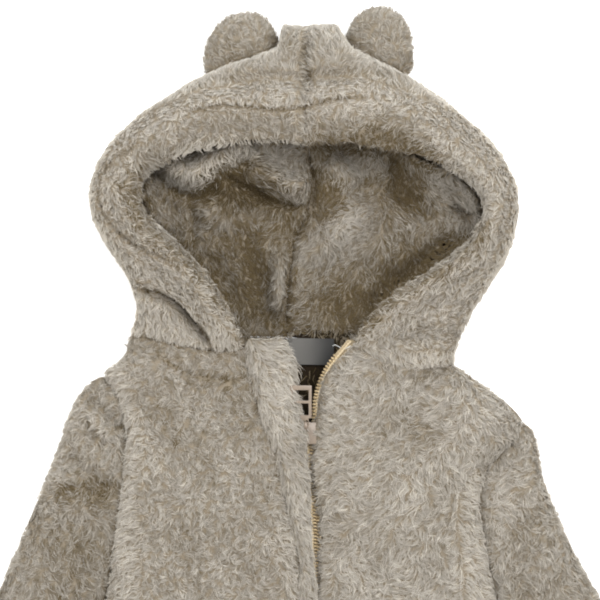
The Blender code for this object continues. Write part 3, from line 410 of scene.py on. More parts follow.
# its last colour is the painted shadow inside the neck
NECK_GROUND = NeckGroundFinish("fleece_ground_neck", 0.95, (0.240, 0.196, 0.138),
                               (0.270, 0.228, 0.170), (0.0003, 0.1600, 0.014), 0.028, 0.040,
                               (0.026, 0.018, 0.011))
ENAMEL = EnamelFinish("beige_enamel", 0.45, (0.262, 0.204, 0.152), (0.226, 0.176, 0.130))
TEETH = TeethFinish("gold_teeth", 0.42, (0.640, 0.500, 0.300), (0.400, 0.290, 0.150))
TAPE = WovenFinish("zip_tape_weave", 0.85, (0.500, 0.400, 0.260), (0.360, 0.280, 0.170), 1400.0)
# the white label's satin, painted dark grey as shade
SATIN = LabelFinish("label_weave", 0.6, (0.152, 0.144, 0.130), (0.130, 0.123, 0.111), 900.0)
CORD = WovenFinish("zip_cord_weave", 0.6, (0.640, 0.530, 0.350), (0.520, 0.410, 0.250), 1400.0)
LOOSE_THREAD = WovenFinish("loose_thread", 0.6, (0.800, 0.800, 0.780), (0.700, 0.700, 0.680), 2400.0)
THREAD = WovenFinish("sewing_thread", 0.75, (0.400, 0.345, 0.270), (0.240, 0.200, 0.150), 2400.0)
FLOOR = FloorFinish("pale_floor", 0.9, (0.97, 0.97, 0.97), 0.45)


# -------------------------------------------------------------------- modelling

def only(piece: bpy.types.Object) -> None:
    """Selects one object, alone, and makes it the active one."""
    for other in bpy.context.selected_objects:
        other.select_set(False)
    bpy.context.view_layer.objects.active = piece
    piece.select_set(True)


def copy_of(source: bpy.types.Object, name: str) -> bpy.types.Object:
    """Copies a solid's mesh into a piece of its own, with its loose triangles merged.

    Args:
        source: the solid.
        name: the new piece's name.

    Returns:
        The new piece, at the origin.
    """
    piece = bpy.data.objects.new(name, source.data.copy())
    bpy.context.collection.objects.link(piece)
    piece.data.materials.clear()
    only(piece)
    bpy.ops.object.mode_set(mode="EDIT")
    bpy.ops.mesh.select_all(action="SELECT")
    bpy.ops.mesh.remove_doubles(threshold=0.02 * MM)
    bpy.ops.mesh.tris_convert_to_quads(face_threshold=math.radians(60),
                                       shape_threshold=math.radians(60))
    bpy.ops.mesh.select_all(action="DESELECT")
    bpy.ops.object.mode_set(mode="OBJECT")
    return piece


def use(piece: bpy.types.Object, kind: str, **settings: Any) -> None:
    """Adds a modifier with its settings and applies it."""
    only(piece)
    modifier = piece.modifiers.new(kind.lower(), kind)
    for name, setting in settings.items():
        setattr(modifier, name, setting)
    bpy.ops.object.modifier_apply(modifier=modifier.name)


def dress(piece: bpy.types.Object, paint: bpy.types.Material, body: str = SUIT) -> None:
    """Gives a piece its material and the body it rides on."""
    piece.data.materials.clear()
    piece.data.materials.append(paint)
    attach(piece, body)


def positions(mesh: bpy.types.Mesh) -> np.ndarray:
    """Vertices of a mesh as an array."""
    flat = np.empty(len(mesh.vertices) * 3, np.float32)
    mesh.vertices.foreach_get("co", flat)
    return flat.reshape(-1, 3).astype(float)


def normals(mesh: bpy.types.Mesh) -> np.ndarray:
    """Vertex normals of a mesh as an array."""
    flat = np.empty(len(mesh.vertices) * 3, np.float32)
    mesh.vertex_normals.foreach_get("vector", flat)
    return flat.reshape(-1, 3).astype(float)


def triangles(mesh: bpy.types.Mesh) -> np.ndarray:
    """Triangles of a mesh as an array of vertex numbers."""
    mesh.calc_loop_triangles()
    flat = np.empty(len(mesh.loop_triangles) * 3, np.int32)
    mesh.loop_triangles.foreach_get("vertices", flat)
    return flat.reshape(-1, 3)


def set_positions(mesh: bpy.types.Mesh, points: np.ndarray) -> None:
    """Moves the vertices of a mesh."""
    mesh.vertices.foreach_set("co", points.astype(np.float32).ravel())
    mesh.update()


def joined(name: str, points: np.ndarray, faces: np.ndarray, starts: np.ndarray,
           uv: np.ndarray | None = None, facing: np.ndarray | None = None) -> bpy.types.Object:
    """Makes one piece of many small ones.

    Args:
        name: the piece's name.
        points: all vertices, in metres.
        faces: the vertex numbers of all corners, face after face.
        starts: the first corner of each face.
        uv: a place on the bake map for each corner, or None.
        facing: a normal for each vertex, or None for the faces' own.

    Returns:
        The piece.
    """
    mesh = bpy.data.meshes.new(name)
    mesh.vertices.add(len(points))
    mesh.vertices.foreach_set("co", points.astype(np.float32).ravel())
    mesh.loops.add(len(faces))
    mesh.loops.foreach_set("vertex_index", faces.astype(np.int32))
    mesh.polygons.add(len(starts))
    mesh.polygons.foreach_set("loop_start", starts.astype(np.int32))
    mesh.update(calc_edges=True)
    if uv is not None:
        mesh.uv_layers.new(name=BAKE_UV).data.foreach_set("uv", uv.astype(np.float32).ravel())
    mesh.shade_smooth()
    if facing is not None:
        mesh.normals_split_custom_set_from_vertices(facing.tolist())
    piece = bpy.data.objects.new(name, mesh)
    bpy.context.collection.objects.link(piece)
    return piece


def arrayed(name: str, model: bpy.types.Object, places: np.ndarray, turns: np.ndarray,
            sizes: np.ndarray | None = None) -> bpy.types.Object:
    """Copies a small model to many places as one mesh, and removes the model.

    Args:
        name: the new piece's name.
        model: the small piece, modelled round the origin.
        places: where the copies go, in metres.
        turns: a 3 by 3 matrix for each copy, its columns the copy's own axes.
        sizes: a stretch along the model's three axes for each copy, or None.

    Returns:
        The piece.
    """
    mesh = model.data
    shape = positions(mesh)
    if sizes is None:
        sizes = np.ones((len(places), 3))
    stretched = shape[None] * sizes[:, None]
    points = np.einsum("nij,nkj->nki", turns, stretched) + places[:, None]
    corners = np.empty(len(mesh.loops), np.int32)
    mesh.loops.foreach_get("vertex_index", corners)
    starts = np.empty(len(mesh.polygons), np.int32)
    mesh.polygons.foreach_get("loop_start", starts)
    count = len(places)
    steps = np.arange(count)[:, None]
    piece = joined(name, points.reshape(-1, 3), (corners[None] + steps * len(shape)).ravel(),
                   (starts[None] + steps * len(corners)).ravel())
    bpy.data.objects.remove(model)
    return piece


def rope(name: str, path: np.ndarray, radii: np.ndarray, pattern: "Pattern",
         corners: int = 8) -> bpy.types.Object:
    """Runs a round rope along a path.

    Args:
        name: the piece's name.
        path: its middle, a row to a place on the pattern, in millimetres.
        radii: its radius at each place.
        pattern: the pattern's place.
        corners: how many sides it has.

    Returns:
        The rope, closed at both ends.
    """
    ways = rows_unit(np.gradient(path, axis=0))
    across = rows_unit(np.stack((-ways[:, 1], ways[:, 0], np.zeros(len(path))), axis=1))
    rise = np.cross(ways, across)
    angles = 2 * math.pi * np.arange(corners) / corners
    rings = (across[:, None, :] * np.cos(angles)[None, :, None]
             + rise[:, None, :] * np.sin(angles)[None, :, None])
    points = path[:, None, :] + rings * radii[:, None, None]
    here = np.arange(corners)
    after = (here + 1) % corners
    quads = [np.stack((here, after, after + corners, here + corners), axis=1) + row * corners
             for row in range(len(path) - 1)]
    last = (len(path) - 1) * corners
    faces = np.concatenate([np.concatenate(quads).ravel(), here[::-1], here + last])
    walls = (len(path) - 1) * corners
    starts = np.concatenate([np.arange(walls) * 4, [walls * 4, walls * 4 + corners]])
    return joined(name, pattern.back(points.reshape(-1, 3)), faces, starts)


def rows_unit(vectors: np.ndarray) -> np.ndarray:
    """Vectors brought to length one, row by row."""
    return vectors / np.maximum(np.linalg.norm(vectors, axis=-1, keepdims=True), 1e-9)


def smooth_line(points: Line, step: float) -> np.ndarray:
    """Runs a smooth curve through points on the pattern.

    Args:
        points: the points, in millimetres.
        step: distance between the results.

    Returns:
        Evenly spaced points along the curve.
    """
    given = np.array(points, float)
    ends = np.concatenate((2 * given[:1] - given[1:2], given, 2 * given[-1:] - given[-2:-1]))
    fine = []
    for before, start, end, after in zip(ends, ends[1:], ends[2:], ends[3:]):
        t = np.linspace(0.0, 1.0, 16, endpoint=False)[:, None]
        fine.append(0.5 * (2 * start + (end - before) * t
                           + (2 * before - 5 * start + 4 * end - after) * t ** 2
                           + (3 * start - before - 3 * end + after) * t ** 3))
    curve = np.concatenate((*fine, given[-1:]))
    lengths = np.concatenate(([0.0], np.cumsum(np.linalg.norm(np.diff(curve, axis=0), axis=1))))
    wanted = np.arange(0.0, lengths[-1], step)
    return np.stack([np.interp(wanted, lengths, curve[:, axis])
                     for axis in range(curve.shape[1])], axis=1)


def to_line(points: np.ndarray, line: np.ndarray) -> tuple[np.ndarray, np.ndarray, np.ndarray]:
    """Measures places against a line on the pattern.

    Args:
        points: places on the pattern, in millimetres.
        line: the line's own points.

    Returns:
        The distance of each place, its share of the way along, and whether it is on the left.
    """
    best = np.full(len(points), np.inf)
    share = np.zeros(len(points))
    left = np.zeros(len(points), bool)
    lengths = np.concatenate(([0.0], np.cumsum(np.linalg.norm(np.diff(line, axis=0), axis=1))))
    for number, (start, end) in enumerate(zip(line, line[1:])):
        way = end - start
        t = np.clip((points - start) @ way / max(way @ way, 1e-9), 0.0, 1.0)
        gap = points - (start + t[:, None] * way)
        distance = np.linalg.norm(gap, axis=1)
        nearer = distance < best
        best[nearer] = distance[nearer]
        place = lengths[number] + t * (lengths[number + 1] - lengths[number])
        share[nearer] = place[nearer] / lengths[-1]
        left[nearer] = (way[0] * gap[nearer, 1] - way[1] * gap[nearer, 0]) > 0
    return best, share, left


def inside(points: np.ndarray, outline: Line) -> np.ndarray:
    """Says which places lie inside an outline on the pattern."""
    x, y = points[:, 0], points[:, 1]
    held = np.zeros(len(points), bool)
    for (x0, y0), (x1, y1) in zip(outline, outline[1:] + outline[:1]):
        crosses = (y0 > y) != (y1 > y)
        reach = x0 + (y - y0) * (x1 - x0) / (y1 - y0 if y1 != y0 else 1e-9)
        held ^= crosses & (x < reach)
    return held


class SoftNoise:
    """Smooth, repeatable noise: a sum of waves in seeded directions."""

    def __init__(self, seed: int, wavelength: float, waves: int = 9) -> None:
        """Draws the waves.

        Args:
            seed: makes the noise repeatable.
            wavelength: its mean wavelength in millimetres.
            waves: how many waves are summed.
        """
        draw = np.random.default_rng(seed)
        ways = rows_unit(draw.normal(size=(waves, 3)))
        self.waves = ways * (2 * math.pi / (wavelength * draw.uniform(0.65, 1.6, (waves, 1))))
        self.phases = draw.uniform(0, 2 * math.pi, waves)

    def at(self, points: np.ndarray) -> np.ndarray:
        """Noise of about -1 to 1 at each point."""
        total = np.sin(points @ self.waves.T + self.phases).sum(axis=1)
        return total / math.sqrt(len(self.phases) / 2.0) * 0.7


@dataclass(frozen=True)
class Pattern:
    """Where the pattern's origin, at the neck, lies in the frame, in metres."""

    x: float
    y: float

    @classmethod
    def from_label(cls) -> "Pattern":
        """Finds the origin from the corner of the label, which is sewn in at the neck."""
        low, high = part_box("size_label")
        return cls(low[0] - LABEL_CORNER[0] * MM, high[1] - LABEL_CORNER[1] * MM)

    def of(self, points: np.ndarray) -> np.ndarray:
        """Points of the frame, in millimetres on the pattern."""
        return (points - np.array([self.x, self.y, 0.0])) / MM

    def back(self, points: np.ndarray) -> np.ndarray:
        """Points of the pattern, in metres in the frame."""
        return points * MM + np.array([self.x, self.y, 0.0])


# ------------------------------------------------------------------------ cloth

@dataclass(frozen=True)
class Crease:
    """A soft trough pressed into the cloth with painted shade, or with a negative depth a ridge with
    painted light.
    """

    line: Line
    depth: float
    width: float
    from_above: bool = True
    steep: float = 1.0          # share of the width on the left of the line
    under: float = math.inf     # cloth takes part less and less towards this height
    tails: float = 0.22         # share of the length over which each end fades
    shade_weight: float = 1.0          # how far its depth shows in the pile's tone as painted shade

    def press(self, points: np.ndarray, layer: np.ndarray) -> np.ndarray:
        """Works out how far each point sinks.

        Args:
            points: places on the pattern, in millimetres.
            layer: which of them belong to the uppermost cloth.

        Returns:
            The depth at each point.
        """
        distance, share, left = to_line(points[:, :2], smooth_line(self.line, 3.0))
        width = np.where(left, self.width * self.steep, self.width)
        across = np.where(distance < width, 0.5 + 0.5 * np.cos(math.pi * distance / width), 0.0)
        ends = np.clip(np.minimum(share, 1.0 - share) / self.tails, 0.0, 1.0)
        reach = 1.25 * abs(self.depth) + 4.0
        low = np.clip((self.under - points[:, 2]) / reach, 0.0, 1.0)
        return self.depth * across * ends * ends * (3 - 2 * ends) * layer * low


@dataclass(frozen=True)
class Swell:
    """A round patch of cloth that is drawn aside or puffed out."""

    centre: tuple[float, float]
    radii: tuple[float, float]
    shift: tuple[float, float, float]

    def draw(self, points: np.ndarray) -> np.ndarray:
        """Works out how far each point moves."""
        reach = (points[:, :2] - self.centre) / self.radii
        distance = np.linalg.norm(reach, axis=1)
        share = np.where(distance < 1.0, 0.5 + 0.5 * np.cos(math.pi * distance), 0.0)
        return share[:, None] * np.array(self.shift)


@dataclass(frozen=True)
class PileStyle:
    """How the pile lies in one part of the suit, in millimetres and radians."""

    length: float = 4.6         # of a tuft along the cloth
    lift: float = 1.8           # of its tip over the cloth
    width: float = 0.54         # of one tuft's fibre
    lock: float = 3.3           # between the locks that tufts gather into
    gather: float = 0.35        # how far tips draw together, 0 to 1
    tangle: float = 0.8         # spread of the locks' directions
    swirl: float = 0.8          # of the comb over long distances
    curl: float = 1.0           # bow of a tuft sideways
    comb: tuple[float, float] = (0.0, -1.0)
    radial: float = 0.0         # how strongly the pile points from the centre
    centre: tuple[float, float] = (0.0, 90.0)
    tone: float = 0.5           # 0 dark to 1 pale; zones also use it for painted light and shade
    mottle: float = 0.08        # how much the tone changes from clump to clump
    shine: float = 0.29         # how much paler its single long hairs are, partly their own colour and partly painted sheen
    density: float = 1.0


@dataclass(frozen=True)
class Zone:
    """A part of a panel with a style of its own; None takes in all of it."""

    style: PileStyle
    outline: Line | None = None
    upward: bool = False

    def holds(self, points: np.ndarray, ups: np.ndarray) -> np.ndarray:
        """Says which points are in the zone."""
        held = np.ones(len(points), bool)
        if self.outline is not None:
            held &= inside(points[:, :2], self.outline)
        if self.upward:
            held &= ups > 0.0
        return held


@dataclass
class Panel:
    """One piece of fleece: its ground as a thin shell, and the pile on it."""

    node: str
    flat: tuple[float, float]                # width and length of the cut, in metres
    area: float                              # of the cut, in square metres
    zones: tuple[Zone, ...]
    creases: tuple[Crease, ...] = ()
    swells: tuple[Swell, ...] = ()
    partings: tuple[Line, ...] = ()
    bare: tuple[Line, ...] = ()              # outlines in which no pile grows
    hold: Hold = Hold.LAID
    rests_on: tuple[str, ...] = ()
    padded: float = 0.0                      # fill of a stuffed piece, 0 for a sheet
    inset: float = -0.2                      # the ground lies this far inside the solid
    crisp: float = 0.9                       # how sharp the cut edges stay
    levels: int = 2                          # of smoothing
    lumps: float = 0.45                      # height of the cloth's own unevenness
    by_neck: bool = False                    # its ground is seen far inside the neck, where it takes painted shadow
    crease_shade: np.ndarray | None = field(default=None, init=False)
    ground: bpy.types.Object | None = field(default=None, init=False)
    pile: bpy.types.Object | None = field(default=None, init=False)

    def seed(self) -> int:
        """A number that belongs to this panel's name."""
        return sum((place + 1) * ord(letter) for place, letter in enumerate(self.node))

    def cut(self, nodes: dict[str, Any], pattern: Pattern) -> None:
        """Builds the shell of knitted ground on the solid's form.

        Args:
            nodes: the solids by name.
            pattern: the pattern's place.
        """
        piece = copy_of(nodes[self.node], f"ground_{self.node}")
        only(piece)
        bpy.ops.object.mode_set(mode="EDIT")
        bpy.ops.mesh.select_mode(type="EDGE")
        bpy.ops.mesh.edges_select_sharp(sharpness=math.radians(55))
        bpy.ops.transform.edge_crease(value=self.crisp)
        bpy.ops.mesh.select_all(action="DESELECT")
        bpy.ops.object.mode_set(mode="OBJECT")
        use(piece, "SUBSURF", levels=self.levels, render_levels=self.levels)
        self.ground = piece
        self.settle(pattern)
        piece.data.shade_smooth()

    def settle(self, pattern: Pattern) -> None:
        """Sinks the ground under the pile's reach, makes it uneven, presses the creases and keeps the
        painted shade they give the pile.
        """
        mesh = self.ground.data
        points = pattern.of(positions(mesh))
        outward = normals(mesh)
        uneven = SoftNoise(self.seed(), 17.0).at(points) * 0.7
        uneven += SoftNoise(self.seed() + 1, 7.0).at(points) * 0.3
        free = np.clip((points[:, 2] - 2.0) / 6.0, 0.0, 1.0)
        points += outward * (uneven * self.lumps * free - self.inset)[:, None]
        for swell in self.swells:
            points += swell.draw(points)
        self.crease_shade = np.zeros(len(points))
        if self.creases:
            tree = BVHTree.FromPolygons(points.tolist(), triangles(mesh).tolist())
            for above, sign in ((True, -1.0), (False, 1.0)):
                layer = top_layer(tree, points, above)
                for crease in self.creases:
                    if crease.from_above == above:
                        depth = crease.press(points, layer)
                        points[:, 2] += depth * sign
                        self.crease_shade += depth * crease.shade_weight
        points[:, 2] = np.maximum(points[:, 2], 0.4)
        set_positions(mesh, pattern.back(points))

    def grow(self, pattern: Pattern, share: "Share", count: int) -> None:
        """Plants the pile.

        Args:
            pattern: the pattern's place.
            share: how densely each vertex is planted and how open it lies.
            count: number of tufts.
        """
        tufts = Tufts(self, pattern, share, count)
        self.pile = tufts.build(f"pile_{self.node}")

    def declare(self, ground_paint: bpy.types.Material, pile_paint: bpy.types.Material) -> None:
        """Gives both pieces their finish, hides the solid and logs how many faces and tufts they have."""
        dress(self.ground, ground_paint)
        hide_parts(self.node)
        dress(self.pile, pile_paint)
        log.info("%s: %d faces of ground, %d tufts", self.node, len(self.ground.data.polygons),
                 len(self.pile.data.vertices) // Tufts.POINTS)


def top_layer(tree: BVHTree, points: np.ndarray, above: bool, thickness: float = 6.5) -> np.ndarray:
    """Says which points belong to the cloth first met from above or from below.

    Args:
        tree: the cloth.
        points: its points, in millimetres.
        above: True to look down, False to look up.
        thickness: how deep one layer goes.

    Returns:
        1.0 for each point in that layer, 0.0 for the others.
    """
    start, way = (200.0, Vector((0, 0, -1))) if above else (-50.0, Vector((0, 0, 1)))
    layer = np.zeros(len(points))
    for number, (x, y, z) in enumerate(points):
        hit = tree.ray_cast(Vector((x, y, start)), way)[0]
        if hit is None or abs(hit.z - z) < thickness:
            layer[number] = 1.0
    return layer


class Tufts:
    """The pile of one panel, worked out all at once and joined into one mesh."""

    POINTS = 5
    WIDTHS = (0.85, 1.0)
    FLAT_ON_FLOOR = 0.25        # least height over the floor, in millimetres
    SHELTER = 0.30              # how much darker the pile is painted where nothing reaches it, as painted shade
    RELIEF = 0.12               # how far a tuft's own slope shows in its shading
    HOLLOW = 0.034              # how much painted shade the pile gets for each millimetre of a crease
    PARTING = 3.0               # half width of a parting, in millimetres
    LONG_HAIRS = 0.22           # share of tufts that stand out as single pale hairs
    SEAM_TONE = 0.42            # how much darker the pile is painted in a parting, as painted shade in its groove
    SEAM_WIDTH = 1.5            # half width of the dark line in it, in millimetres
    LOFT = 0.9                  # how far the pile on a rounded edge takes light from above
    EDGE_TONE = 0.38            # how much paler the pile is painted on a rounded edge, as painted light
    BLUR = 3.0                  # how far tones run into each other, in millimetres
    BLENDED = ("tone", "shine", "mottle")
    LEAST_TONE = 0.10           # of pile in a crease
    REACH = 0.8                 # share of its length that a tuft's tip gets away
    BEND = 0.56                 # how near its root a tuft bends
    REACHED = 0.3               # how open pile lies that light from the side reaches
    CLOUDS = 38.0               # wavelength of the broad mottle, in millimetres
    CLUMPS = 5.0                # and of the fine one

    roots: np.ndarray           # where each tuft grows, on the pattern
    ups: np.ndarray             # the way out of the cloth there
    open: np.ndarray            # how open the cloth lies there
    crease_shade: np.ndarray            # how much painted shade its creases give it
    zone: np.ndarray            # the style that shapes it
    shade: np.ndarray           # the style that tones it
    single: np.ndarray          # whether it is a long hair by itself
    parted: np.ndarray          # how deep it lies in a parting

    def __init__(self, panel: Panel, pattern: Pattern, share: "Share", count: int) -> None:
        """Keeps what the tufts need.

        Args:
            panel: the panel they grow on.
            pattern: the pattern's place.
            share: how densely each vertex is planted and how open it lies.
            count: number of tufts.
        """
        self.panel = panel
        self.pattern = pattern
        self.draw = np.random.default_rng(panel.seed())
        self.plant(share.density, share.openness, count)

    def plant(self, weights: np.ndarray, openness: np.ndarray, count: int) -> None:
        """Spreads the roots over the ground in proportion to the weights."""
        mesh = self.panel.ground.data
        points = self.pattern.of(positions(mesh))
        outward = normals(mesh)
        corners = triangles(mesh)
        a, b, c = (points[corners[:, k]] for k in range(3))
        face_area = 0.5 * np.linalg.norm(np.cross(b - a, c - a), axis=1)
        share = face_area * weights[corners].mean(axis=1)
        ladder = np.cumsum(share)
        steps = (np.arange(count) + self.draw.uniform(0, 1, count)) / count * ladder[-1]
        chosen = np.minimum(np.searchsorted(ladder, steps), len(corners) - 1)
        u, v = self.draw.uniform(0, 1, (2, count))
        over = u + v > 1
        u[over], v[over] = 1 - u[over], 1 - v[over]
        mix = np.stack((1 - u - v, u, v), axis=1)
        roots = np.einsum("nk,nkj->nj", mix, points[corners[chosen]])
        kept = np.ones(count, bool)
        for outline in self.panel.bare:
            kept &= ~inside(roots[:, :2], outline)
        mix, chosen, self.roots = mix[kept], chosen[kept], roots[kept]
        self.ups = rows_unit(np.einsum("nk,nkj->nj", mix, outward[corners[chosen]]))
        self.open = np.einsum("nk,nk->n", mix, openness[corners[chosen]])
        self.crease_shade = np.einsum("nk,nk->n", mix, self.panel.crease_shade[corners[chosen]])

    def styled(self, name: str) -> np.ndarray:
        """One measure of the styles, for every tuft; the tones run into each other."""
        values = np.array([getattr(zone.style, name) for zone in self.panel.zones], float)
        return values[self.shade if name in self.BLENDED else self.zone]

    def blend_tones(self) -> None:
        """Lets the tones of neighbouring styles run into each other, tuft by tuft."""
        blurred = self.roots + self.draw.normal(0, self.BLUR, self.roots.shape)
        self.shade = np.zeros(len(self.roots), int)
        for number, zone in enumerate(self.panel.zones):
            self.shade[zone.holds(blurred, self.ups[:, 2])] = number
        tones = np.array([zone.style.tone for zone in self.panel.zones])
        kept = np.minimum(tones[self.zone], tones[self.shade]) < self.LEAST_TONE / 2
        self.shade[kept] = self.zone[kept]

    def comb(self) -> tuple[np.ndarray, np.ndarray]:
        """Finds the way the pile lies at each root.

        Returns:
            The direction along the cloth, and the direction across it.
        """
        flat = np.zeros_like(self.roots)
        combs = np.array([zone.style.comb for zone in self.panel.zones])[self.zone]
        centres = np.array([zone.style.centre for zone in self.panel.zones])[self.zone]
        outward = rows_unit(self.roots[:, :2] - centres)
        flat[:, :2] = combs + outward * self.styled("radial")[:, None]
        drift = SoftNoise(self.panel.seed() + 5, 46.0).at(self.roots) * self.styled("swirl")
        drift += SoftNoise(self.panel.seed() + 6, 19.0).at(self.roots) * self.styled("swirl") * 0.6
        along = flat - self.ups * np.einsum("ij,ij->i", flat, self.ups)[:, None]
        weak = np.linalg.norm(along, axis=1) < 0.15
        along[weak] += np.cross(self.ups[weak], (0.6, 0.8, 0.1))
        along = rows_unit(along)
        turn = drift + self.lock_turn + self.draw.normal(0, 0.16, len(self.roots))
        across = np.cross(self.ups, along)
        turned = along * np.cos(turn)[:, None] + across * np.sin(turn)[:, None]
        return turned, np.cross(self.ups, turned)

    def gather(self) -> None:
        """Gives every tuft to its nearest lock and draws the locks' own habits."""
        count = len(self.roots)
        spacing = np.median(self.styled("lock"))
        patch = self.patch_area()
        locks = max(24, int(count * patch / spacing ** 2))
        chosen = self.draw.choice(count, min(locks, count), replace=False)
        centres = self.roots[chosen] + self.ups[chosen] * 2.0
        tree = KDTree(len(chosen))
        for number, centre in enumerate(centres):
            tree.insert(centre, number)
        tree.balance()
        seen = self.roots + self.ups * 2.0
        self.lock = np.fromiter((tree.find(place)[1] for place in seen), np.int64, count)
        self.lock_root = self.roots[chosen][self.lock]
        size = len(chosen)
        self.lock_turn = self.draw.normal(0, 1, size)[self.lock] * self.styled("tangle")
        self.lock_curl = self.draw.normal(0, 1, size)[self.lock]
        self.lock_length = self.draw.uniform(0.75, 1.25, size)[self.lock]
        self.lock_lift = self.draw.uniform(0.75, 1.2, size)[self.lock]
        self.lock_tone = self.draw.normal(0, 1, size)[self.lock]

    def patch_area(self) -> float:
        """Square millimetres to a tuft, by the distance between neighbours."""
        sample = self.draw.choice(len(self.roots), min(400, len(self.roots)), replace=False)
        tree = KDTree(len(self.roots))
        for number, root in enumerate(self.roots + self.ups * 2.0):
            tree.insert(root, number)
        tree.balance()
        reach = [tree.find_n(self.roots[k] + self.ups[k] * 2.0, 9)[-1][2] for k in sample]
        return float(np.median(reach)) ** 2 * math.pi / 8.0

    def part(self) -> np.ndarray:
        """Parts the pile along seams and stitching.

        Returns:
            A share of full length for each tuft.
        """
        short = np.ones(len(self.roots))
        self.parted = np.zeros(len(self.roots))
        raised = self.ups[:, 2] > 0.15
        for line in self.panel.partings:
            distance, _, _ = to_line(self.roots[:, :2], smooth_line(line, 4.0))
            near = np.clip(1.0 - distance / self.PARTING, 0.0, 1.0) * raised
            short = np.minimum(short, 1.0 - 0.85 * near)
            dark = np.clip(1.4 - distance / self.SEAM_WIDTH, 0.0, 1.0) * raised
            self.parted = np.maximum(self.parted, dark)
        return short

    def build(self, name: str) -> bpy.types.Object:
        """Shapes every tuft and joins them.

        Args:
            name: the piece's name.

        Returns:
            The piece.
        """
        self.zone = np.zeros(len(self.roots), int)
        for number, zone in enumerate(self.panel.zones):
            self.zone[zone.holds(self.roots, self.ups[:, 2])] = number
        self.blend_tones()
        self.gather()
        along, across = self.comb()
        short = self.part()
        count = len(self.roots)
        length = self.styled("length") * self.lock_length * short
        length *= self.draw.uniform(0.75, 1.15, count)
        self.single = self.draw.uniform(0, 1, count) < self.LONG_HAIRS
        length *= np.where(self.single, 1.4, 1.0)
        lift = self.styled("lift") * self.lock_lift * (0.35 + 0.65 * short)
        lift *= self.draw.uniform(0.7, 1.1, count)
        resting = (self.ups[:, 2] < -0.35) & (self.roots[:, 2] < 3.5)
        lift += np.where(self.single, 0.45 * short, 0.0)
        lift[resting] *= 0.12
        tucked = 1.0 - np.clip((self.ups[:, 2] + 0.35) / 0.5, 0.0, 1.0)
        edge = 1.0 - np.clip(self.ups[:, 2] / 0.6, 0.0, 1.0)
        lift *= (1.0 - 0.75 * tucked) * (1.0 - 0.7 * edge * (along[:, 2] > 0.0))
        length *= 1.0 - 0.35 * tucked
        bow = self.styled("curl") * (0.75 * self.lock_curl + 0.35 * self.draw.normal(0, 1, count))
        bow *= np.where(self.single, 1.7, 1.0)
        away = along * (length * self.REACH)[:, None] + self.ups * lift[:, None]
        tip, lock_tip = self.roots + away, self.lock_root + away
        pull = (self.styled("gather") * self.draw.uniform(0.6, 1.2, count))[:, None]
        pull *= np.where(self.single, 0.3, 1.0)[:, None]
        tip = tip + (lock_tip - tip) * np.clip(pull, 0.0, 0.92)
        middle = self.roots * self.BEND + tip * (1.0 - self.BEND)
        middle += self.ups * (lift * 0.34)[:, None]
        middle += across * bow[:, None] * 0.62
        tip -= across * bow[:, None] * 0.25
        roll = self.draw.normal(0, 0.3, count)
        tilt = (0.25 + np.abs(roll)) * -np.sign(across[:, 2])
        roll = np.where(self.draw.uniform(0, 1, count) < edge, tilt, roll)[:, None]
        broad = rows_unit(across * np.cos(roll) + self.ups * np.sin(roll))
        half = (self.styled("width") * self.draw.uniform(0.7, 1.25, count))[:, None] / 2
        half *= np.where(self.single, 0.66, 1.05)[:, None]
        points = np.stack((self.roots - broad * half * self.WIDTHS[0],
                           self.roots + broad * half * self.WIDTHS[0],
                           middle - broad * half * self.WIDTHS[1],
                           middle + broad * half * self.WIDTHS[1], tip), axis=1)
        points[:, :, 2] = np.maximum(points[:, :, 2], self.FLAT_ON_FLOOR)
        own = rows_unit(np.cross(tip - self.roots, broad))
        own *= np.where(np.einsum("ij,ij->i", own, self.ups) < 0, -1.0, 1.0)[:, None]
        facing = self.ups + own * self.RELIEF
        facing[:, 2] += self.LOFT * (1.0 - np.clip(self.ups[:, 2] / 0.8, 0.0, 1.0))
        return self.weave(name, points, rows_unit(facing))

    def weave(self, name: str, points: np.ndarray, facing: np.ndarray) -> bpy.types.Object:
        """Joins the tufts' points into one mesh with its tones and soft normals."""
        count = len(points)
        first = np.arange(count)[:, None] * self.POINTS
        faces = (first + np.array([0, 2, 3, 1, 2, 4, 3])).ravel()
        starts = (np.arange(count)[:, None] * 7 + np.array([0, 4])).ravel()
        tone = self.styled("tone") + 0.04 * self.lock_tone + self.draw.normal(0, 0.015, count)
        # single hairs paler, partly their own colour and partly painted sheen
        tone += np.where(self.single, self.styled("shine"), -0.05)
        # painted shade in partings, where the cloth lies sheltered and in creases; painted light on
        # rounded edges and ridges
        tone -= self.SEAM_TONE * self.parted
        edge = 1.0 - np.clip(self.ups[:, 2] / 0.65, 0.0, 1.0)
        tone += self.EDGE_TONE * edge * (self.open > self.REACHED)
        tone -= self.SHELTER * (1.0 - self.open) * np.clip(0.2 + 1.6 * self.ups[:, 2], 0.2, 1.0)
        tone -= np.clip(self.HOLLOW * self.crease_shade, -0.12, 0.30)
        tone += 0.06 * SoftNoise(self.panel.seed() + 9, self.CLOUDS).at(self.roots)
        clumps = SoftNoise(self.panel.seed() + 12, self.CLUMPS).at(self.roots)
        tone += self.styled("mottle") * clumps
        uv = np.empty((count, 7, 2))
        least = np.clip(self.styled("tone"), 0.0, self.LEAST_TONE)
        uv[:, :, 0] = np.clip(tone, least, 1.0)[:, None]
        uv[:, :, 1] = np.array([0.0, 0.5, 0.5, 0.0, 0.5, 1.0, 0.5])
        return joined(name, self.pattern.back(points.reshape(-1, 3)), faces, starts,
                      uv.reshape(-1, 2), np.repeat(facing, self.POINTS, axis=0))


@dataclass(frozen=True)
class Share:
    """What each vertex of a shell gets: its density of tufts, and how open it lies."""

    density: np.ndarray
    openness: np.ndarray


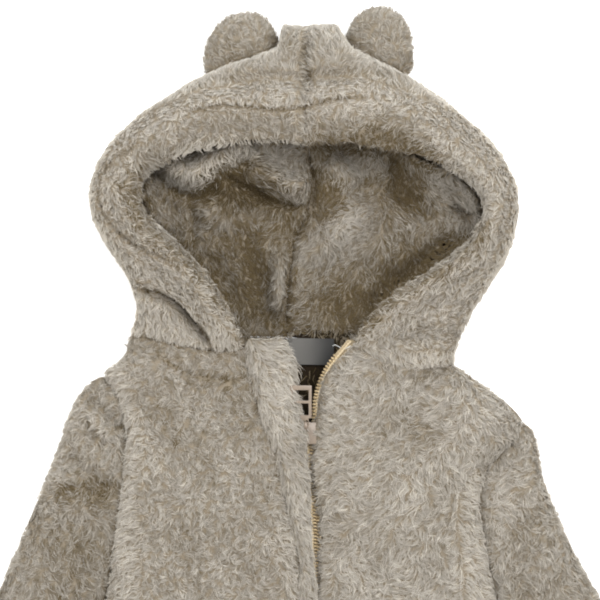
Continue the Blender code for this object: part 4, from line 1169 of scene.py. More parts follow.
class Exposure:
    """Finds where the cloth can be seen and how sheltered it lies."""

    REACH = 0.25
    CLEAR = 1.4 * MM
    FRAME_LOW = 0.012           # the suit's lower part is planted more thinly
    SHARES = (1.0, 0.42, 0.16)  # upper front, lower front, sides and back

    def __init__(self, grounds: Sequence[bpy.types.Object]) -> None:
        """Collects every shell into one tree."""
        points, faces, start = [], [], 0
        for piece in grounds:
            points.append(positions(piece.data))
            faces.append(triangles(piece.data) + start)
            start += len(points[-1])
        self.tree = BVHTree.FromPolygons(np.concatenate(points).tolist(),
                                         np.concatenate(faces).tolist())
        self.up = Vector((0, 0, 1))
        self.sky = self.ring(0.75, 6) + self.ring(0.34, 8)
        self.under = self.ring(-0.3, 4) + self.ring(-0.85, 3)

    @staticmethod
    def ring(rise: float, turns: int) -> list[Vector]:
        """Directions all round at one steepness."""
        flat = math.sqrt(1 - rise * rise)
        angles = [2 * math.pi * (turn + rise) / turns for turn in range(turns)]
        return [Vector((math.cos(angle) * flat, math.sin(angle) * flat, rise))
                for angle in angles]

    def free(self, start: Vector, way: Vector) -> bool:
        """Says whether nothing stands in a way."""
        return self.tree.ray_cast(start, way, self.REACH)[0] is None

    def share(self, piece: bpy.types.Object) -> Share:
        """Looks out from each vertex of a shell."""
        count = len(piece.data.vertices)
        density, openness = np.zeros(count), np.ones(count)
        for number, (point, up) in enumerate(zip(positions(piece.data), normals(piece.data))):
            start = Vector(point + up * self.CLEAR)
            normal = Vector(up)
            faced = [way for way in self.sky if normal.dot(way) > 0.1]
            clear = sum(self.free(start, way) for way in faced)
            if faced:
                openness[number] = clear / len(faced)
            if normal.z > -0.25 and self.free(start, self.up):
                density[number] = self.SHARES[0 if point[1] > self.FRAME_LOW else 1]
            elif clear or any(normal.dot(way) > 0.1 and self.free(start, way)
                              for way in self.under):
                density[number] = self.SHARES[2]
        return Share(density, openness)


# ------------------------------------------------------------------ suit's parts

RIM_STITCHES: tuple[Line, ...] = (
    ((-66.0, 142.8), (-49.2, 145.8), (-32.4, 145.2), (-15.6, 143.4), (0.0, 144.9),
     (19.2, 149.4), (40.2, 151.2)),
    ((-97.8, 123.6), (-115.8, 110.4), (-120.6, 98.4), (-121.2, 88.8), (-115.8, 76.8),
     (-104.4, 65.4), (-90.0, 57.6), (-73.8, 49.8)),
    ((65.4, 145.2), (84.6, 133.8), (101.4, 122.4), (109.2, 112.8), (120.6, 97.2),
     (122.4, 82.2), (115.2, 61.2), (101.4, 43.8), (80.4, 36.0)),
)
FACE_OPENING: Line = (
    (2.4, 125.0), (-24.0, 128.0), (-46.0, 125.0), (-67.0, 122.0), (-85.0, 115.0),
    (-95.0, 107.0), (-100.0, 97.0), (-99.6, 87.0), (-93.0, 77.0), (-80.0, 64.0),
    (-67.0, 54.0), (-56.0, 42.0), (-48.0, 30.0), (-41.0, 18.0), (-36.6, 7.0), (-35.0, -6.0),
    (20.0, -6.0), (29.0, 6.0), (38.0, 15.0), (48.6, 28.0), (65.0, 38.0), (76.0, 45.0),
    (93.0, 56.0), (102.0, 63.0), (108.6, 76.0), (112.0, 87.0), (108.6, 95.0), (102.0, 104.0),
    (93.0, 109.0), (82.0, 115.0), (71.0, 119.0), (53.0, 122.0), (29.0, 125.0),
)
CROWN: Line = (
    (-130.0, 120.0), (-100.0, 138.0), (-61.2, 155.4), (-44.4, 157.8), (-21.0, 162.0),
    (-2.4, 160.0), (14.4, 162.6), (36.6, 163.2), (48.0, 159.6), (100.0, 140.0),
    (130.0, 120.0), (130.0, 220.0), (-130.0, 220.0),
)
CENTRE_SEAM: Line = ((5.4, 193.2), (3.6, 184.8), (1.5, 172.2), (3.0, 162.6), (2.0, 150.0),
                     (1.2, 125.4))
VALLEY: Line = ((-61.2, 155.4), (-44.4, 157.8), (-21.0, 162.0), (-2.4, 160.0), (14.4, 162.6),
                (36.6, 163.2), (48.0, 159.6))
LEFT_COLLAR_FOLD: Line = ((-98.0, 37.0), (-84.0, 34.2), (-72.6, 27.0), (-64.8, 19.2),
                          (-60.0, 13.2), (-55.5, 7.8), (-54.6, 0.0))
NECK_SEAM_RIGHT: Line = ((-99.9, 9.0), (-88.2, 6.6), (-73.2, 2.4), (-55.5, 0.0), (-46.2, -1.8),
                         (-38.4, -0.6))
YOKE_LINE: Line = ((-84.6, -3.6), (-73.2, -11.4), (-63.0, -15.6), (-50.4, -16.8),
                   (-36.6, -18.6))
COLLAR_FOLD_LEFT: Line = ((50.0, 5.0), (60.0, 6.6), (72.0, 7.4), (84.0, 6.6), (94.0, 5.0))

RIGHT_WALL: Line = (
    (-92.0, 108.0), (-97.0, 97.0), (-94.0, 86.0), (-86.0, 76.0), (-76.0, 67.0))
LEFT_WALL: Line = (
    (58.0, 119.0), (71.0, 117.0), (82.0, 113.0), (93.0, 107.0), (101.0, 101.0), (106.0, 94.0),
    (108.0, 86.0), (104.0, 77.0))
BACK_SEAM: Line = ((4.0, 121.0), (6.5, 103.0), (6.0, 92.0), (2.6, 80.0), (-4.0, 67.0),
                   (-6.6, 53.0), (-8.5, 41.0), (-9.0, 10.0))
BRIGHT_LINING: Line = ((-101.0, 124.0), (-101.0, 80.0), (-76.0, 74.0), (-70.0, 98.0),
                       (-48.0, 104.0), (-20.0, 93.0), (3.0, 88.0), (2.0, 62.0), (24.0, 56.0),
                       (60.0, 72.0), (84.0, 72.0), (112.0, 82.0), (108.0, 100.0), (60.0, 121.0),
                       (2.0, 124.5), (-46.0, 124.5))
SEAM_STRIP: Line = ((0.5, 196.0), (-1.5, 184.0), (-3.0, 172.0), (-2.0, 160.0), (-3.0, 140.0),
                    (-3.0, 126.0), (2.0, 126.0), (3.0, 140.0), (4.0, 160.0), (3.0, 172.0),
                    (5.0, 184.0), (7.0, 196.0))
ARM_STRIP_LEFT: Line = ((108.0, -70.0), (95.0, -82.0), (93.0, -106.0), (97.0, -136.0),
                        (97.0, -170.0), (120.0, -170.0), (118.0, -136.0), (112.0, -106.0),
                        (110.0, -82.0))
ARM_STRIP_RIGHT: Line = ((-120.0, -8.0), (-106.0, -8.0), (-94.0, -52.0), (-97.0, -80.0),
                         (-96.0, -170.0), (-120.0, -170.0), (-115.0, -80.0), (-108.0, -52.0))
RIM_UPPER: Line = ((-82.0, 116.0), (-70.0, 142.0), (70.0, 142.0), (80.0, 116.0))
RIM_SHADE_RIGHT: Line = ((-109.0, 100.0), (-105.0, 88.0), (-104.0, 80.0), (-91.0, 66.0),
                         (-73.0, 51.0), (-58.0, 36.0), (-52.0, 24.0), (-44.0, 21.0),
                         (-50.0, 35.0), (-63.0, 50.0), (-79.0, 64.0), (-90.0, 74.0),
                         (-94.0, 87.0), (-95.0, 98.0), (-95.0, 108.0), (-103.0, 109.0))
RIM_SHADE_LEFT: Line = ((29.0, 12.0), (47.0, 30.0), (68.0, 43.0), (89.0, 55.0), (104.0, 69.0),
                        (109.0, 80.0), (113.0, 75.0), (106.0, 61.0), (92.0, 49.0), (71.0, 37.0),
                        (50.0, 22.0), (33.0, 5.0))
RIM_SHADE_TOP: Line = ((20.0, 120.0), (22.0, 128.5), (44.0, 136.0), (66.0, 128.0), (84.0, 116.0),
                       (84.0, 108.0), (66.0, 113.0), (46.0, 119.0))
WALL_LEFT: Line = ((76.0, 114.0), (92.0, 107.0), (104.0, 98.0), (109.0, 86.0), (105.0, 73.0),
                   (91.0, 72.0), (86.0, 84.0), (78.0, 98.0))
LOWER_LINING: Line = ((-2.0, 68.0), (34.0, 72.0), (60.0, 62.0), (48.0, 46.0), (24.0, 36.0),
                      (0.0, 34.0))
DARK_LINING: Line = ((-61.0, 104.0), (-54.0, 110.0), (-48.0, 114.0), (-34.0, 115.0),
                     (-24.0, 111.0), (-18.0, 104.0), (-7.0, 97.0), (5.0, 92.0), (5.0, 88.0),
                     (-13.0, 88.0), (-31.0, 88.0), (-46.0, 87.0), (-60.0, 92.0))
BILLOW: Line = ((-34.0, 124.5), (2.0, 124.5), (4.0, 102.0), (4.0, 96.0), (-8.0, 101.0),
                (-18.0, 108.0), (-26.0, 116.0))
TOP_LINING: Line = ((18.0, 124.0), (52.0, 122.0), (50.0, 108.0), (30.0, 104.0), (18.0, 110.0))
SHADED_LINING: tuple[Line, ...] = (
    ((5.0, 108.0), (18.0, 108.0), (28.0, 100.0), (28.0, 84.0), (16.0, 77.0), (4.0, 82.0)),
    ((54.0, 114.0), (68.0, 112.0), (74.0, 104.0), (74.0, 90.0), (66.0, 80.0), (56.0, 84.0),
     (55.0, 100.0)),
    ((24.0, 44.0), (44.0, 42.0), (40.0, 26.0), (28.0, 12.0), (16.0, 14.0), (20.0, 28.0)),
    ((-30.0, 76.0), (-20.0, 74.0), (-22.0, 56.0), (-30.0, 40.0), (-30.0, 10.0), (-38.0, 10.0),
     (-40.0, 40.0), (-34.0, 56.0)),
)
LEFT_PATCH: Line = ((-74.0, 88.0), (-58.0, 88.0), (-55.0, 70.0), (-57.0, 57.0), (-66.0, 60.0),
                    (-77.0, 70.0))
BESIDE_GUARD: Line = ((-20.0, -90.0), (-9.0, -86.0), (-2.0, -120.0), (3.0, -170.0), (3.0, -210.0),
                      (-8.0, -210.0), (-10.0, -150.0))
COLLAR_RIGHT: Line = ((-104.0, 38.0), (-84.0, 31.0), (-62.0, 12.0), (-48.0, 16.0), (-38.0, 6.0),
                      (-36.0, -6.0), (-60.0, -2.0), (-106.0, 8.0))
SHOULDER_LEFT: Line = ((82.0, -14.0), (114.0, -20.0), (120.0, -60.0), (102.0, -66.0))
SLEEVE_EDGE_LEFT: Line = ((108.0, -46.0), (130.0, -60.0), (128.0, -90.0), (126.0, -130.0),
                          (130.0, -170.0), (106.0, -170.0), (106.0, -90.0))
SEAM_NOTCH: Line = ((4.0, 130.5), (20.0, 131.0), (20.0, 123.0), (4.0, 121.0))
NECK_CORNER: Line = ((8.0, 12.0), (31.0, 12.0), (26.0, -2.0), (16.0, -8.0))
UPPER_SLEEVE_RIGHT: Line = ((-156.0, -26.0), (-104.0, -26.0), (-104.0, -80.0), (-156.0, -80.0))
UPPER_SLEEVE_LEFT: Line = ((108.0, -34.0), (156.0, -34.0), (160.0, -86.0), (116.0, -86.0))
LINING_ROLL: Line = ((-78.0, 121.0), (-76.0, 107.0), (-68.0, 99.0), (-57.0, 104.0),
                     (-51.0, 115.0), (-30.0, 122.0), (-18.0, 127.0), (-60.0, 127.0))
COLLAR_LEFT: Line = ((24.0, -2.0), (40.0, 3.0), (60.0, 0.0), (98.0, 0.0), (98.0, -16.0),
                     (24.0, -12.0))
OPEN_EDGE: Line = ((26.0, 9.0), (37.0, 8.0), (30.0, -6.0), (24.0, -16.0), (19.0, -26.0),
                   (16.0, -36.0), (15.0, -50.0), (7.0, -50.0), (8.0, -34.0), (11.0, -24.0),
                   (16.0, -14.0), (21.0, -4.0))
LABEL_PATCH: Line = ((-9.5, 9.0), (20.5, 9.0), (20.5, -10.4), (-9.5, -10.4))
ZIP_STRIPS: tuple[Line, ...] = (
    ((2.0, -52.0), (16.0, -52.0), (18.0, -87.0), (4.0, -87.0)),
    ((5.0, -118.0), (19.0, -118.0), (19.0, -220.0), (12.0, -310.0), (0.0, -310.0),
     (4.0, -220.0)),
)
NECK_INSIDE: Line = ((-30.0, 12.0), (34.0, 12.0), (24.0, -12.0), (12.0, -44.0), (-8.0, -44.0),
                     (-26.0, -10.0))

# the rim, paler than the rest with painted light; where noted below, a style's tone paints light and
# shade
RIM = PileStyle(length=4.0, lift=1.2, lock=2.9, gather=0.34, tangle=0.8,
                swirl=0.5, curl=0.7, comb=(0.0, -0.55), radial=-0.6, centre=(0.0, 90.0),
                tone=0.71)
# the rim's top, darker with painted shade
RIM_TOP = replace(RIM, length=3.9, tone=0.45)
RIM_SHADE = replace(RIM, tone=0.20, shine=0.24)
CROWN_PILE = PileStyle(length=4.6, lift=1.3, lock=3.2, gather=0.34, tangle=0.6,
                       swirl=0.6, curl=0.7, comb=(0.1, 1.0), tone=0.50)
# the lining and its copies differ in tone only: painted shade in the lining, darker in SHADED and darker
# still in DARK, less of it in LINING_BRIGHT, and painted light in WALL
LINING = PileStyle(length=5.2, lift=1.4, lock=3.0, gather=0.30, tangle=0.45,
                   swirl=0.7, curl=0.8, comb=(-0.1, -1.0), tone=0.36, shine=0.20)
LINING_BRIGHT = replace(LINING, tone=0.47, shine=0.22)
WALL = replace(LINING, tone=0.68, shine=0.26)
SHADED = replace(LINING, tone=0.17, shine=0.18)
DARK = replace(LINING, tone=0.07, shine=0.18)
# a roll of the lining, pale with painted light
ROLL = PileStyle(length=5.4, lift=1.5, lock=3.0, gather=0.3, tangle=0.5,
                 swirl=0.3, comb=(0.1, -1.0), tone=0.84, shine=0.26)
SEAM_COVER = PileStyle(length=4.8, lift=1.3, lock=2.9, tangle=0.45, swirl=0.2,
                       comb=(1.0, -0.35), tone=0.58)
# pile over the armhole seams, pale with painted light over their shade
ARM_COVER_LEFT = PileStyle(length=5.6, lift=1.2, lock=3.4, tangle=0.4, swirl=0.3,
                           comb=(0.9, -0.5), tone=0.78)
ARM_COVER_RIGHT = PileStyle(length=5.4, lift=1.2, lock=3.2, tangle=0.5, swirl=0.3,
                            comb=(-0.9, -0.5), tone=0.68)
# the collar's folds, pale with painted light
COLLAR = PileStyle(length=5.4, lift=1.3, lock=3.4, tangle=0.5, swirl=0.3,
                   comb=(0.1, -1.0), tone=0.82)
ZIP_CLEAR = PileStyle(length=4.4, lift=1.3, lock=3.2, tangle=0.4, swirl=0.2,
                      comb=(0.9, -0.45), tone=0.58)
# nearly black with painted shadow inside the neck
NECK_PILE = PileStyle(length=5.0, lift=1.0, width=0.8, tangle=0.5, comb=(0.0, -1.0), tone=0.03)
ZIP_COVER = PileStyle(length=4.6, lift=1.1, lock=3.4, gather=0.30, tangle=0.30,
                      swirl=0.15, curl=1.0, comb=(-1.0, -0.25), tone=0.56)
EAR = PileStyle(length=3.6, lift=1.1, lock=2.8, gather=0.34, tangle=0.9, swirl=0.7,
                curl=0.7, comb=(-0.2, 0.8), tone=0.55)
CURLY = PileStyle(length=4.2, lift=1.3, lock=3.2, gather=0.34, tangle=1.0,
                  swirl=0.7, curl=1.2, comb=(-0.15, -1.0), tone=0.51, mottle=0.11)
LOOSE = PileStyle(length=6.0, lift=1.2, lock=3.8, gather=0.34, tangle=0.55,
                  swirl=0.9, curl=1.1, comb=(-0.55, -0.5), tone=0.56)
# the wearer's right sleeve, darker than the left with painted shade
SLEEVE = PileStyle(length=4.8, lift=1.3, lock=3.4, gather=0.34, tangle=0.75,
                   swirl=0.8, curl=1.1, comb=(-0.25, -1.0), tone=0.43, mottle=0.09)
SLEEVE_LEFT = PileStyle(length=5.0, lift=1.3, lock=3.6, gather=0.34, tangle=0.7,
                        swirl=0.8, curl=1.0, comb=(0.25, -1.0), tone=0.51)
# pile beside the guard, pale with painted light over the shade at its edge
BESIDE = PileStyle(length=5.6, lift=1.4, lock=3.2, gather=0.34, tangle=0.6,
                   swirl=0.5, curl=1.1, comb=(0.9, -0.5), tone=0.78, mottle=0.09)
# pale with painted light on the shoulder's edge
SHOULDER = PileStyle(length=5.4, lift=1.2, lock=3.6, gather=0.34, tangle=0.6,
                     swirl=0.8, curl=1.1, comb=(-0.2, -0.8), tone=0.64)
# the sleeves' upper parts, paler with painted light
UPPER_SLEEVE = replace(SLEEVE, comb=(-0.1, -1.0), tone=0.58)
GUARD = PileStyle(length=6.4, lift=1.1, lock=3.4, gather=0.24, tangle=0.4,
                  swirl=0.35, curl=0.9, shine=0.22, comb=(0.6, -0.8), tone=0.68)


@dataclass
class Hood:
    """The hood: two halves with their rolled rim, and two stuffed ears."""

    flat: tuple[float, float] = (0.195, 0.245)
    area: float = 0.0376
    ear_flat: tuple[float, float] = (0.042, 0.040)
    lining_limit: float = 33.0  # the lining lies under this height, the rim over it
    stitch_length: float = 2.6
    stitch_step: float = 4.0
    stitch_radius: float = 0.24
    halves: list[Panel] = field(default_factory=list)

    def panels(self) -> list[Panel]:
        """Lays out the hood's panels."""
        # most of these zones paint the hood's light and shade into the pile's tone
        zones = (Zone(RIM), Zone(RIM_TOP, RIM_UPPER), Zone(CROWN_PILE, CROWN), Zone(LINING, FACE_OPENING),
                 Zone(LINING_BRIGHT, BRIGHT_LINING), Zone(LINING_BRIGHT, LOWER_LINING),
                 Zone(WALL, TOP_LINING), Zone(LINING_BRIGHT, LEFT_PATCH),
                 *(Zone(SHADED, patch) for patch in SHADED_LINING),
                 Zone(DARK, DARK_LINING), Zone(WALL, BILLOW), Zone(WALL, WALL_LEFT),
                 Zone(ROLL, LINING_ROLL), Zone(RIM_SHADE, RIM_SHADE_RIGHT),
                 Zone(RIM_SHADE, RIM_SHADE_LEFT), Zone(RIM_SHADE, RIM_SHADE_TOP),
                 Zone(NECK_PILE, NECK_CORNER), Zone(SHADED, SEAM_NOTCH),
                 Zone(SEAM_COVER, SEAM_STRIP),
                 Zone(COLLAR, COLLAR_LEFT), Zone(COLLAR, COLLAR_RIGHT))
        shared = (Crease(VALLEY, 3.2, 7.0, shade_weight=0.9),
                  Crease(RIM_STITCHES[0], 1.7, 2.4, tails=0.1, shade_weight=4.0),
                  *(Crease(line, 1.4, 2.4, tails=0.1, shade_weight=0.8) for line in RIM_STITCHES[1:]),
                  Crease(CENTRE_SEAM, 0.7, 6.0), Crease(CENTRE_SEAM[:5], 3.0, 6.0, tails=0.3, shade_weight=1.8),
                  Crease(NECK_SEAM_RIGHT, 1.3, 3.2))
        for side, own in (("right", self.right_creases()), ("left", self.left_creases())):
            self.halves.append(Panel(
                f"hood_{side}", self.flat, self.area, zones, creases=shared + own,
                partings=(*RIM_STITCHES[:2], LEFT_COLLAR_FOLD, NECK_SEAM_RIGHT, BACK_SEAM),
                rests_on=("back",),
                bare=(LABEL_PATCH,), levels=3, by_neck=True))
        ears = [Panel(f"ear_{side}_{face}", self.ear_flat, self.ear_flat[0] * self.ear_flat[1],
                      (Zone(EAR),), padded=0.55, crisp=0.55, inset=-0.9, lumps=0.3)
                for side in ("right", "left") for face in ("front", "back")]
        return self.halves + ears

    def fold(self, line: Line, depth: float, width: float, steep: float = 1.0,
             tails: float = 0.22, shade_weight: float = 1.0) -> Crease:
        """A fold of the lining alone."""
        return Crease(line, depth, width, steep=steep, under=self.lining_limit, tails=tails,
                      shade_weight=shade_weight)

    def right_creases(self) -> tuple[Crease, ...]:
        """Folds of the half on the wearer's right."""
        return (
            Crease(LEFT_COLLAR_FOLD, 7.0, 7.5, steep=0.22, tails=0.10, shade_weight=0.45),
            Crease(((-96.0, 22.0), (-84.0, 19.0), (-74.0, 12.0)), 1.3, 6.0),
            Crease(((-110.0, 126.0), (-96.0, 112.0), (-90.0, 104.0)), 0.9, 7.0),
            Crease(((-80.0, 130.0), (-60.0, 136.0), (-40.0, 134.0)), -0.8, 9.0),
            self.fold(RIGHT_WALL, -9.0, 15.0, tails=0.15, shade_weight=0.3),
            self.fold(((-86.0, 116.0), (-76.0, 109.0), (-65.0, 107.0), (-55.0, 113.0),
                       (-42.0, 121.0), (-26.0, 126.0)), -16.0, 11.0, steep=1.4, tails=0.10),
            self.fold(((-84.0, 101.0), (-73.0, 95.0), (-62.0, 93.0), (-52.0, 98.0),
                       (-46.0, 105.0)), 5.5, 7.0, shade_weight=1.3),
            self.fold(((-50.0, 106.0), (-41.0, 103.5), (-33.0, 100.0), (-25.0, 95.0),
                       (-15.0, 90.5), (4.0, 87.0)), 7.0, 7.0, steep=0.5, tails=0.14, shade_weight=1.2),
            self.fold(((-34.0, 112.0), (-20.0, 105.0), (-8.0, 99.0), (6.0, 98.0)), -9.0, 12.0,
                      tails=0.12),
            self.fold(((-67.0, 97.0), (-66.0, 80.0), (-64.0, 60.0)), 2.5, 5.0),
            self.fold(((-60.0, 84.0), (-50.0, 78.0), (-42.0, 80.0)), -4.0, 10.0),
            self.fold(((-42.0, 78.0), (-34.0, 60.0), (-28.0, 42.0), (-26.0, 22.0)), 2.5, 12.0,
                      shade_weight=1.8),
            self.fold(((-60.0, 60.0), (-48.0, 42.0), (-40.0, 22.0)), 2.5, 12.0, shade_weight=1.6),
            self.fold(((-15.0, 64.0), (-14.0, 44.0), (-15.0, 18.0)), -4.5, 8.0),
            self.fold(((-97.0, 81.0), (-91.0, 75.0), (-86.0, 70.5)), 7.0, 4.0),
            self.fold(BACK_SEAM, 4.0, 3.8, tails=0.05, shade_weight=1.6),
        )

    def left_creases(self) -> tuple[Crease, ...]:
        """Folds of the half on the wearer's left."""
        return (
            Crease(COLLAR_FOLD_LEFT, 3.0, 6.0),
            Crease(((98.0, 30.0), (86.0, 28.0), (72.0, 27.0)), 1.6, 6.0, shade_weight=0.3),
            Crease(((45.0, 150.0), (47.0, 136.0), (46.0, 124.0)), 0.6, 9.0, shade_weight=6.0),
            Crease(((62.0, 22.0), (74.0, 18.0), (90.0, 17.0)), -1.2, 7.0),
            self.fold(LEFT_WALL, -12.0, 16.0, tails=0.12, shade_weight=0.3),
            self.fold(((56.0, 120.0), (60.0, 104.0), (55.0, 86.0)), 6.0, 10.0),
            self.fold(((60.0, 98.0), (72.0, 86.0), (84.0, 76.0)), 5.0, 10.0),
            self.fold(((89.0, 88.0), (98.0, 84.5), (107.0, 83.0)), 7.0, 4.5),
            self.fold(((2.0, 48.0), (18.0, 68.0), (36.0, 80.0), (54.0, 84.0)), -6.0, 15.0),
            self.fold(((14.0, 116.0), (26.0, 106.0), (38.0, 100.0)), -6.0, 12.0),
            self.fold(((104.0, 72.0), (84.0, 60.0), (66.0, 46.0), (50.0, 34.0), (36.0, 16.0)),
                      5.0, 11.0, shade_weight=1.5),
            self.fold(((30.0, 56.0), (48.0, 46.0), (62.0, 52.0)), 3.0, 12.0, shade_weight=1.4),
            self.fold(((6.0, 34.0), (20.0, 26.0), (28.0, 12.0)), 2.0, 10.0),
            self.fold(BACK_SEAM, 4.0, 4.2, tails=0.05, shade_weight=1.6),
        )

    def stitches(self, pattern: Pattern) -> bpy.types.Object:
        """Sews the rim down with a row of thread.

        Args:
            pattern: the pattern's place.

        Returns:
            The piece of thread.
        """
        bpy.ops.mesh.primitive_uv_sphere_add(segments=6, ring_count=5, radius=0.5)
        model = bpy.context.object
        only(model)
        bpy.ops.object.mode_set(mode="EDIT")
        bpy.ops.mesh.select_all(action="SELECT")
        bpy.ops.transform.rotate(value=math.radians(90), orient_axis="Y",
                                 center_override=(0, 0, 0))
        bpy.ops.object.mode_set(mode="OBJECT")
        places, turns = [], []
        tree = BVHTree.FromPolygons(*self.cloth(pattern))
        for line in RIM_STITCHES:
            spots = smooth_line(line, self.stitch_step)
            for start, end in zip(spots, spots[1:]):
                middle = (start + end) / 2
                hit = tree.ray_cast(Vector((*middle, 200.0)), Vector((0, 0, -1)))[0]
                if hit is None:
                    continue
                way = rows_unit(np.array([*(end - start), 0.0]))
                places.append((*middle, hit.z + 0.25))
                turns.append(np.stack((way, np.cross((0, 0, 1), way), (0, 0, 1)), axis=1))
        count = len(places)
        sizes = np.tile((self.stitch_length * MM, 2 * self.stitch_radius * MM,
                         2 * self.stitch_radius * MM), (count, 1))
        return arrayed("rim_stitches", model, pattern.back(np.array(places)),
                       np.array(turns), sizes)

    def cloth(self, pattern: Pattern) -> tuple[list, list]:
        """Both halves' ground as one set of points and triangles."""
        points, faces, start = [], [], 0
        for half in self.halves:
            points.append(pattern.of(positions(half.ground.data)))
            faces.append(triangles(half.ground.data) + start)
            start += len(points[-1])
        return np.concatenate(points).tolist(), np.concatenate(faces).tolist()


